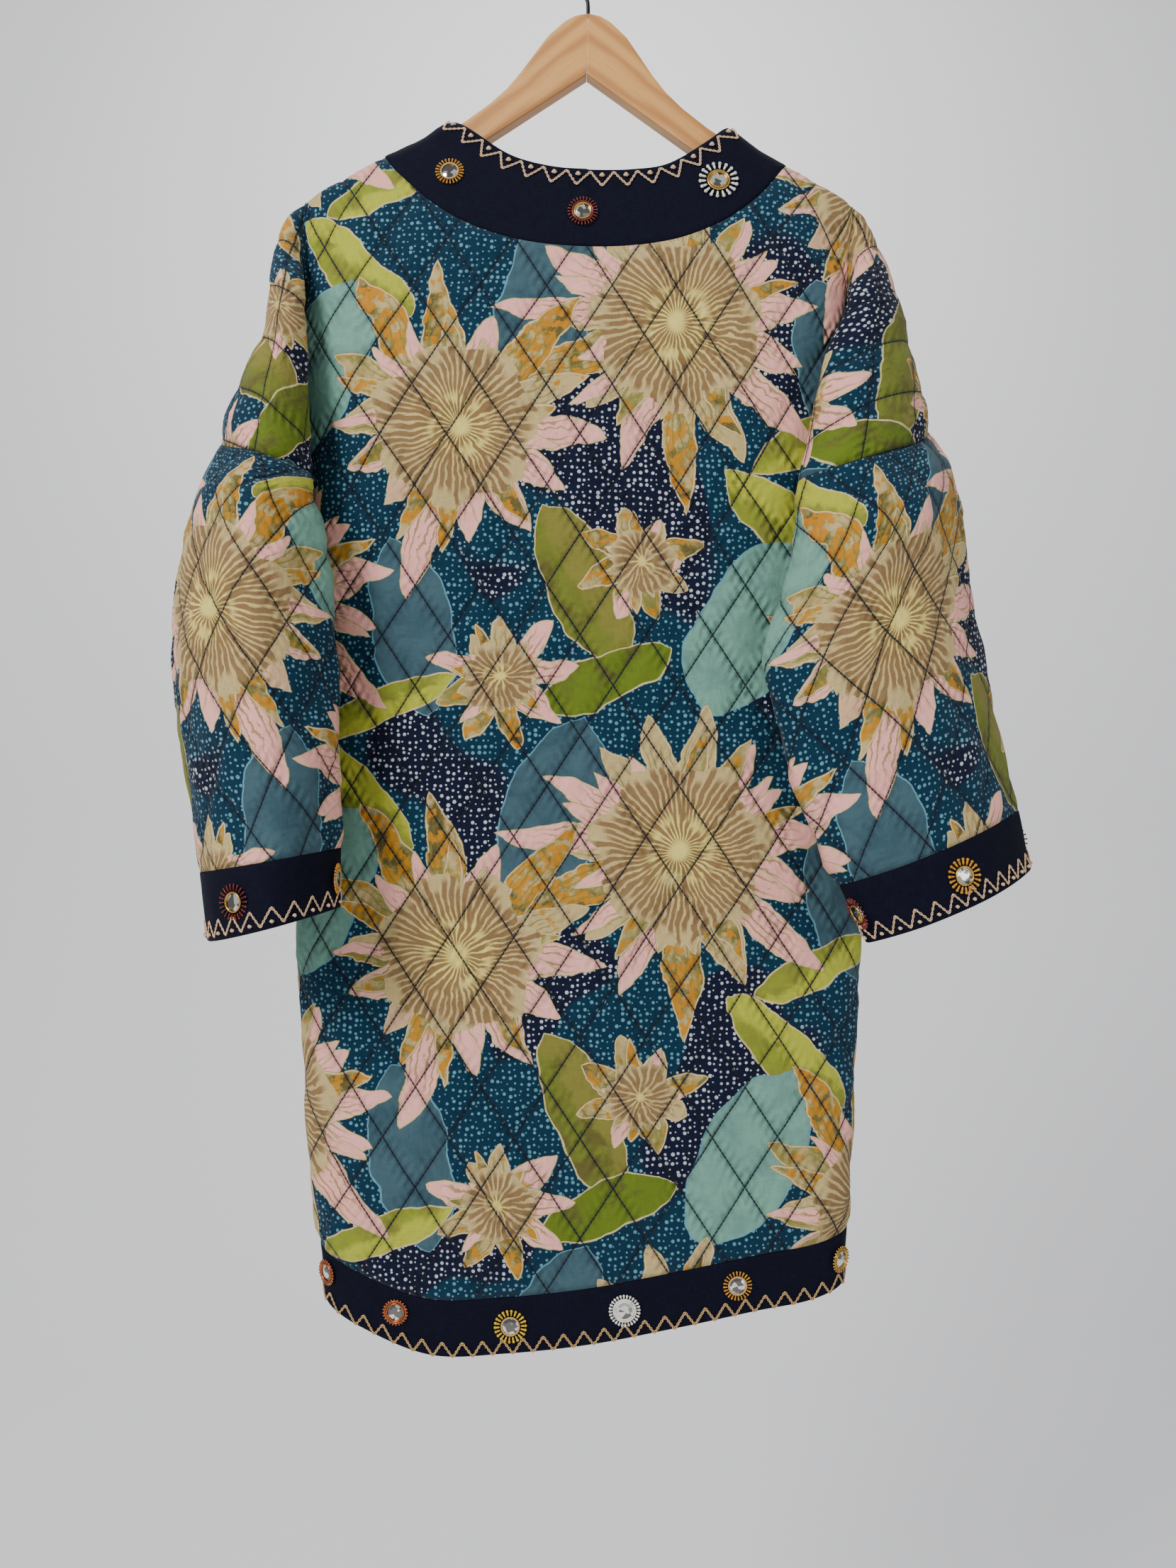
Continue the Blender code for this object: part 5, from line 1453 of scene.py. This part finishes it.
for side, sign in SIGNS.items():
    at = np.linspace(0, CUFF_FROM, SLEEVE_ROWS)
    tube("cloth_sleeve_" + side, "sleeve_" + side, side, at, 61 + sign, False)
    at = CUFF_FROM + (1 - CUFF_FROM) * (0.5 - 0.5 * np.cos(np.linspace(0, math.pi, CUFF_ROWS)))
    tube("cloth_cuff_" + side, "cuff_" + side, side, at, 68 + sign, True)

# %% [markdown]
# # Mirrors, beads and stitches
# Round mirrors are sewn to the bands inside a wrapped cord, with small beads set round them like rays, and
# zigzags of chain stitch run along the edges. Each kind of small part is modelled once, from a primitive that
# is shaped in edit mode. Its copies are then turned to the cloth and gathered, so a band's embroidery is one
# mesh. Beads and stitches have only a few dozen faces, as there are thousands of copies.

# %% Modelling the small parts
def start_shape(add, **sizes):
    """A primitive about 2 units wide, alone in edit mode."""
    bpy.ops.object.select_all(action="DESELECT")
    add(**sizes)
    bpy.ops.object.mode_set(mode="EDIT")


def choose(test):
    """Selects the vertices that pass a test of their place."""
    mesh = bpy.context.object.data
    bpy.ops.mesh.select_mode(type="VERT")
    bpy.ops.mesh.select_all(action="DESELECT")
    bpy.ops.object.mode_set(mode="OBJECT")
    for vertex in mesh.vertices:
        vertex.select = bool(test(vertex.co))
    bpy.ops.object.mode_set(mode="EDIT")


def finish_shape(name):
    """The shape as points and faces. Its own object is no longer needed."""
    bpy.ops.object.mode_set(mode="OBJECT")
    made = bpy.context.object
    shape = (np.array([v.co for v in made.data.vertices]), [tuple(f.vertices) for f in made.data.polygons])
    bpy.data.objects.remove(made, do_unlink=True)
    print(name, "has", len(shape[1]), "faces")
    return shape


def flatten_base(height):
    """The underside that lies on the cloth is cut off level and closed."""
    bpy.ops.mesh.select_all(action="SELECT")
    bpy.ops.mesh.bisect(plane_co=(0, 0, height), plane_no=(0, 0, 1), clear_inner=True, use_fill=True)


start_shape(bpy.ops.mesh.primitive_uv_sphere_add, segments=8, ring_count=6, radius=1.0)
choose(lambda p: abs(p.z) < 0.6)
bpy.ops.transform.resize(value=(1.06, 1.06, 1.0))
flatten_base(-0.55)
BEAD = finish_shape("bead")

start_shape(
    bpy.ops.mesh.primitive_torus_add,
    major_segments=10, minor_segments=4, major_radius=0.62, minor_radius=0.36,
)
bpy.ops.transform.resize(value=(1.0, 0.62, 0.9))
choose(lambda p: p.x < -0.45)
bpy.ops.transform.resize(value=(1.0, 0.45, 1.0))
bpy.ops.transform.translate(value=(-0.16, 0.0, -0.12))
LINK = finish_shape("chain stitch")

start_shape(
    bpy.ops.mesh.primitive_torus_add,
    major_segments=40, minor_segments=6, major_radius=1.0, minor_radius=0.1,
)
choose(lambda p: round(math.atan2(p.y, p.x) / (math.pi / 20)) % 2 == 0)
bpy.ops.transform.resize(value=(1.0, 1.0, 0.72))
CORD = finish_shape("wrapped cord")

start_shape(bpy.ops.mesh.primitive_cylinder_add, vertices=12, radius=1.0, depth=0.2, location=(0, 0, 0.1))
choose(lambda p: p.z > 0.1)
bpy.ops.mesh.inset(thickness=0.36, depth=0.06)
bpy.ops.mesh.inset(thickness=0.02, depth=0.0)
GLASS = finish_shape("cut glass")

# %% Setting copies on the cloth
class Trim:
    """Gathers copies of the small parts into one mesh, each with its finish."""

    def __init__(self, name, finishes):
        self.name, self.finishes = name, finishes
        self.points, self.faces, self.slots, self.count = [], [], [], 0

    def add(self, shape, spot, axes, size, finish_name):
        """A copy: its axes are rows of a turn, and its size is the half size along each, in millimetres."""
        points, faces = shape
        self.points.append(spot + (points * size) @ axes)
        self.faces += [tuple(k + self.count for k in f) for f in faces]
        self.slots += [list(self.finishes).index(finish_name)] * len(faces)
        self.count += len(points)

    def make(self, cut=()):
        mesh = bpy.data.meshes.new(self.name)
        mesh.from_pydata((np.concatenate(self.points) * 0.001).tolist(), [], self.faces)
        for finish_used in self.finishes.values():
            mesh.materials.append(finish_used)
        mesh.polygons.foreach_set("material_index", np.array(self.slots, np.int32))
        flat_slots = [list(self.finishes).index(name) for name in cut]
        mesh.polygons.foreach_set("use_smooth", np.array([s not in flat_slots for s in self.slots]))
        made = bpy.data.objects.new(self.name, mesh)
        bpy.context.scene.collection.objects.link(made)
        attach(made, "root")
        print(made.name, len(mesh.polygons), "faces")
        return made


def turned(way, up):
    """A turn whose rows are a direction, its side and the way up."""
    up = np.asarray(up, float) / np.linalg.norm(up)
    way = np.asarray(way, float) - up * np.dot(way, up)
    way = way / np.linalg.norm(way)
    return np.array([way, np.cross(up, way), up])


print("copies are gathered in a Trim")

# %% [markdown]
# # Mirror rosettes
# Every rosette has a cut glass, a wrapped cord round it, and rays or rings of small beads. A table names the
# kinds by their look: the glass's radius, the cord's finish, and where the beads reach from and to.

# %% Rosettes
ROSETTES = {
    "columns": ("kind", "glass", "cord", "bead", "count", "start", "stop", "half_wide", "outer_cord"),
    "rows": (
        ("mustard", 6.2, "tan", "mustard", 24, 7.4, 10.8, 0.5, None),
        ("dark red", 5.8, "gold", "dark_red", 26, 8.2, 11.4, 0.5, "dark_red"),
        ("white", 6.2, "gold", "white", 18, 9.6, 14.6, 0.85, "gold"),
        ("maroon", 6.2, "gold", "dark_red", 22, 7.8, 12.6, 0.45, None),
        ("amber", 6.2, "gold", "mustard", 20, 7.6, 12.4, 0.75, None),
        ("copper", 6.2, "copper", "copper", 24, 7.8, 9.8, 0.5, "copper"),
        ("yellow", 6.2, "tan", "yellow", 22, 7.8, 12.0, 0.7, None),
        ("white ring", 6.2, "white", "white", 28, 9.2, 11.6, 0.6, "white"),
        ("gold ring", 5.8, "gold", "gold", 24, 8.2, 10.0, 0.5, "gold"),
    ),
}
KINDS = {row[0]: row[1:] for row in ROSETTES["rows"]}


def rosette(trim, spot, up, kind):
    """A mirror with its cords and its rays of beads."""
    glass_wide, cord, bead, count, start, stop, half_wide, outer_cord = KINDS[kind]
    upright = turned((1, 0, 0), up)
    up = upright[2]
    spot = spot + up * 0.4
    trim.add(GLASS, spot, upright, (glass_wide, glass_wide, 8.0), "glass")
    trim.add(CORD, spot + up * 1.1, upright, (glass_wide + 0.5, glass_wide + 0.5, 10.0), cord)
    if outer_cord is not None:
        trim.add(CORD, spot + up * 0.9, upright, (glass_wide + 2.0, glass_wide + 2.0, 7.5), outer_cord)
    for k in range(count):
        swing = 2 * math.pi * (k + 0.25) / count
        way = upright[0] * math.cos(swing) + upright[1] * math.sin(swing)
        size = ((stop - start) / 2, half_wide, 1.0)
        trim.add(BEAD, spot + way * (start + stop) / 2 + up * 0.8, turned(way, up), size, bead)
        trim.add(BEAD, spot + way * (stop - 0.4) + up * 0.9, turned(way, up), (half_wide * 1.5,) * 3, bead)


def rosette_on(trim, face, flat, kind):
    """A rosette at one flat place of the back or of the fronts."""
    rosette(trim, place(face, flat)[0], place_normal(face, flat)[0], kind)


def mirror_names(group, count):
    return [f"mirror_{group}_{k + 1}" for k in range(count)]


print("rosettes:", ", ".join(KINDS))

# %% Mirrors of the neck and the hem
neck = Trim("mirrors_neck", trim_finishes)
for spot, kind in zip(NECK_MIRRORS, ("mustard", "dark red", "white")):
    rosette_on(neck, "back", body_frame([spot]), kind)
hem = Trim("mirrors_hem", trim_finishes)
places = hem_places(hem_low, hem_high)
for x, kind in zip(BACK_HEM_MIRRORS, ("copper", "copper", "yellow", "white ring", "mustard", "gold ring")):
    flat = body_frame([(x, float(hem_at(x)) + HEM_BAND / 2)])
    if abs(x) > 150:
        flat[0, 0] = places[np.argmin(np.abs(places - flat[0, 0]))]
    rosette_on(hem, "back", flat, kind)
for share, kind in zip((-0.75, -0.35, 0.35, 0.75), ("mustard", "white ring", "copper", "yellow")):
    u = share * (hem_high if share > 0 else -hem_low)
    flat = np.array([[u, float(hem_at(u / ROUND_GAIN)) + HEM_BAND / 2]])
    rosette_on(hem, "front", flat, kind)
mirror_sets = [(neck, mirror_names("neck", 3)), (hem, mirror_names("hem", 10))]
print("the neck and the hem have", sum(len(names) for trim, names in mirror_sets), "mirrors")

# %% Mirrors of the fronts and the cuffs
front = Trim("mirrors_front", trim_finishes)
for side, sign in SIGNS.items():
    seam, edge = front_lines(sign, front_rows())
    middle = along((seam + edge) / 2, 6)
    for k in range(FRONT_BAND_MIRRORS):
        flat = by_length(middle, [(k + 0.6) / FRONT_BAND_MIRRORS])
        kind = list(KINDS)[(k * 2 + (sign > 0)) % len(KINDS)]
        rosette_on(front, "front", flat, kind)
cuffs = Trim("mirrors_cuffs", trim_finishes)
for side, kinds in (("left", ("mustard", "maroon")), ("right", ("maroon", "amber"))):
    cuff = fine_sleeve(side, np.linspace(CUFF_FROM, 1, 3), SLEEVE_BACK_COLUMNS, SLEEVE_FRONT_COLUMNS)
    count = cuff.shape[1]
    for k in range(CUFF_MIRRORS):
        j = round((k + 0.5) * count / CUFF_MIRRORS) % count
        normal = np.cross(cuff[1, (j + 1) % count] - cuff[1, j - 1], cuff[2, j] - cuff[0, j])
        if normal @ (cuff[1, j] - cuff[1].mean(axis=0)) < 0:
            normal = -normal
        rosette(cuffs, cuff[1, j], normal, kinds[k % 2])
for trim, group, count in ((front, "front", FRONT_BAND_MIRRORS), (cuffs, "cuff", CUFF_MIRRORS)):
    mirror_sets.append((trim, [name for side in SIGNS for name in mirror_names(f"{group}_{side}", count)]))
for trim, names in mirror_sets:
    made = trim.make(cut=("glass",))
    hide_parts(*names)

# %% [markdown]
# # Zigzags of chain stitch
# The zigzags are worked in thick thread, a chain of loops in which each loop holds the next, with a small
# knot in each triangle at the neck and cuffs. At the hem the zigzag is tan and has no knots.

# %% Places along the bands
EDGE_GAP = 0.3


def band_surface(seam, edge, face, rise=0.6):
    """Reads points and normals on a band, by share along it and millimetres in from its free edge."""
    at = np.linspace(0, 1, len(edge))

    def read(share, away):
        near = np.stack([np.interp(share, at, edge[:, k]) for k in range(2)], axis=1)
        far = np.stack([np.interp(share, at, seam[:, k]) for k in range(2)], axis=1)
        way = (far - near) / np.linalg.norm(far - near, axis=1)[:, None]
        flat = near + way * np.maximum(away, EDGE_GAP)[:, None]
        points, normals = place(face, flat), place_normal(face, flat)
        return points + normals * rise, normals
    return read


def cuff_surface(side, rise=0.6):
    """The same on a cuff, by share around it and millimetres up from its lower edge."""
    grid = fine_sleeve(side, np.linspace(CUFF_FROM, 1, 9), back_columns=60, front_columns=48)
    rows, columns = grid.shape[:2]
    normals = vertex_normals(grid.reshape(-1, 3), grid_faces(rows, columns, True)).reshape(rows, columns, 3)
    if np.sum(normals[-1] * (grid[-1] - grid[-1].mean(axis=0))) < 0:
        normals = -normals
    tall = np.linalg.norm(grid[-1] - grid[0], axis=1)

    def read(share, away):
        j = np.floor(share % 1.0 * columns).astype(int) % columns
        part = (share % 1.0 * columns - j)[:, None]
        k = (j + 1) % columns
        height = tall[j] + (tall[k] - tall[j]) * part[:, 0]
        row = (1 - np.clip(np.maximum(away, EDGE_GAP) / height, 0, 1)) * (rows - 1)
        i = np.minimum(row.astype(int), rows - 2)
        q = (row - i)[:, None]
        found = []
        for source in (grid, normals):
            low = source[i, j] * (1 - part) + source[i, k] * part
            high = source[i + 1, j] * (1 - part) + source[i + 1, k] * part
            found.append(low * (1 - q) + high * q)
        up = found[1] / np.linalg.norm(found[1], axis=1)[:, None]
        return found[0] + up * rise, up
    return read


print("bands can be read by share and distance")

# %% Chains, knots and zigzags
LINK_LONG = 3.3
POINTS_PER_STROKE = 7
KNOT_STRANDS = 3
# The free edge of the hem's zigzag is drawn in a little, so that its last stroke ends on the cloth
HEM_DRAWN_IN = (0.995, 1)
ZIGZAGS = {
    "columns": ("low", "high", "thread", "knot_at", "knot", "wide"),
    "neck": (3.2, 15.2, "peach", 6.4, 2.1, 1.75),
    "cuff": (2.4, 14.4, "peach", 4.8, 1.6, 1.5),
    "hem": (0.3, 11.5, "tan", None, None, 1.75),
}


def chain(trim, points, normals, thread_name, wide):
    """Chain stitch along a line."""
    reach = reach_along(points)
    count = max(1, round(reach[-1] / LINK_LONG))

    def at(place_at, source):
        return np.array([np.interp(place_at, reach, source[:, k]) for k in range(3)])

    for place_at in (np.arange(count) + 0.5) / count * reach[-1]:
        way = at(min(place_at + 1, reach[-1]), points) - at(max(place_at - 1, 0), points)
        up = at(place_at, normals)
        size = (LINK_LONG * 0.6, wide, 1.5)
        trim.add(LINK, at(place_at, points) + up * 0.4, turned(way, up), size, thread_name)


def zigzag(trim, surface, count, low, high, thread_name, knot_at, knot, wide):
    """A zigzag between two distances from the edge, with a knot of three strands in each triangle."""
    for k in range(2 * count):
        share = np.linspace(k, k + 1, POINTS_PER_STROKE) / (2 * count)
        start, stop = (high, low) if k % 2 else (low, high)
        away = np.linspace(start, stop, POINTS_PER_STROKE)
        chain(trim, *surface(share, away), thread_name, wide)
    if knot_at is None:
        return
    for spot, up in zip(*surface((np.arange(count) + 0.5) / count, np.full(count, knot_at))):
        for k in range(KNOT_STRANDS):
            way = turned((math.cos(k * 2.1), 0.2, math.sin(k * 2.1)), up)
            size = (knot * (1 - 0.14 * k), knot * 0.62, 0.9)
            trim.add(BEAD, spot + up * (0.7 + 0.4 * k), way, size, thread_name)


stitches = Trim("zigzag_neck", {"peach": peach_thread})
zigzag(stitches, band_surface(*neck_lines(np.linspace(0, 1, 200)), "back"), 14, *ZIGZAGS["neck"])
for sign in (-1, 1):
    surface = band_surface(*front_lines(sign, np.linspace(0, 1, 300)), "front")
    zigzag(stitches, surface, 52, *ZIGZAGS["neck"])
stitches.make()
stitches = Trim("zigzag_cuffs", {"peach": peach_thread})
for side in ("left", "right"):
    zigzag(stitches, cuff_surface(side), 27, *ZIGZAGS["cuff"])
stitches.make()
stitches = Trim("zigzag_hem", {"tan": tan_thread})
for face, start, stop, count in (
    ("back", hem_low, hem_high, 29), ("front", hem_low, -front_gap, 14), ("front", front_gap, hem_high, 14),
):
    u = np.linspace(start, stop, 200)
    bottom = hem_at(u / ROUND_GAIN)
    lines = np.array([np.stack([u, bottom], axis=1), np.stack([u, bottom + HEM_BAND], axis=1)])
    edge, seam = stretch_to_sides(lines, start == hem_low, stop == hem_high) * HEM_DRAWN_IN
    zigzag(stitches, band_surface(seam, edge, face), count, *ZIGZAGS["hem"])
stitches.make()

# %% [markdown]
# # The hanger and its hook
# The hanger's two mitred arms and the wire hook are hard, plain forms, and the solids already have them. They
# are kept as they are and only take their finishes.

# %% Finishes of the hanger
for node_name, used in (("hanger_left", hanger_wood), ("hanger_right", hanger_wood), ("hook", hook_wire)):
    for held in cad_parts[node_name].material_slots:
        held.material = used
    print(node_name, "takes", used.name)

# %% [markdown]
# # The pale wall, the light and the camera
# The coat hangs before a plain pale wall in soft daylight from the left. The wall is a plane whose far edge
# is extruded upwards and whose fold is bevelled round, so that no line crosses the picture.

# %% The wall
FAR_EDGE = 2.5
WALL_TALL = 6.0


def choose_edges(mesh, test):
    """Selects the edges whose two ends pass a test of their place."""
    bpy.ops.mesh.select_mode(type="EDGE")
    bpy.ops.mesh.select_all(action="DESELECT")
    bpy.ops.object.mode_set(mode="OBJECT")
    for edge in mesh.edges:
        edge.select = all(test(mesh.vertices[k].co) for k in edge.vertices)
    bpy.ops.object.mode_set(mode="EDIT")


bpy.ops.object.select_all(action="DESELECT")
bpy.ops.mesh.primitive_plane_add(size=1.0, location=(0.0, 0.0, 0.0))
wall = bpy.context.object
wall.name = "sweep"
bpy.ops.object.mode_set(mode="EDIT")
bpy.ops.transform.resize(value=(12.0, 7.0, 1.0))
bpy.ops.transform.translate(value=(0.0, -0.7, FLOOR))
choose_edges(wall.data, lambda p: p.y > FAR_EDGE)
bpy.ops.mesh.extrude_region_move(TRANSFORM_OT_translate={"value": (0.0, 0.0, WALL_TALL)})
choose_edges(wall.data, lambda p: p.y > FAR_EDGE and p.z < FLOOR + 0.1)
bpy.ops.mesh.bevel(offset=1.2, segments=20)
bpy.ops.object.mode_set(mode="OBJECT")
wall.data.shade_smooth()
wall_paint, shader = begin("wall_paint")
shader.inputs["Base Color"].default_value = (*seen(228, 228, 230), 1.0)
shader.inputs["Roughness"].default_value = 0.9
wall.data.materials.append(wall_paint)
print("the wall has", len(wall.data.polygons), "faces")

# %% Lights
def lamp(name, spot, aim, size, power, colour):
    """A round area light at a spot, aimed at a point."""
    data = bpy.data.lights.new(name, "AREA")
    data.shape = "DISK"
    data.size, data.energy, data.color = size, power, colour
    made = bpy.data.objects.new(name, data)
    made.location = spot
    made.rotation_euler = (Vector(aim) - Vector(spot)).to_track_quat("-Z", "Y").to_euler()
    bpy.context.scene.collection.objects.link(made)


MIDDLE = (0.0, 0.0, -0.6)
lamp("window", (-1.7, -2.3, 1.1), MIDDLE, 1.2, 110, (1.0, 0.985, 0.96))
lamp("fill", (2.2, -2.4, -0.4), MIDDLE, 2.2, 20, (0.96, 0.98, 1.0))
lamp("wall_light", (0.0, 0.9, 1.6), (0.0, 2.8, 0.0), 1.6, 46, (1.0, 1.0, 1.0))
world = bpy.data.worlds.new("pale")
world.use_nodes = True
sky = world.node_tree.nodes["Background"].inputs
sky["Color"].default_value = (0.86, 0.88, 0.9, 1)
sky["Strength"].default_value = 0.62
bpy.context.scene.world = world
print("three lights and a pale sky")

# %% Camera
data = bpy.data.cameras.new("camera")
data.lens = 29.06
data.sensor_width = 36.0
data.sensor_fit = "AUTO"
data.clip_start = 0.05
camera = bpy.data.objects.new("camera", data)
camera.location = (0.0, -1.0, -0.6654)
camera.rotation_euler = (math.radians(90), 0, 0)
bpy.context.scene.collection.objects.link(camera)
bpy.context.scene.camera = camera
print("the camera stands 1 m behind the coat")
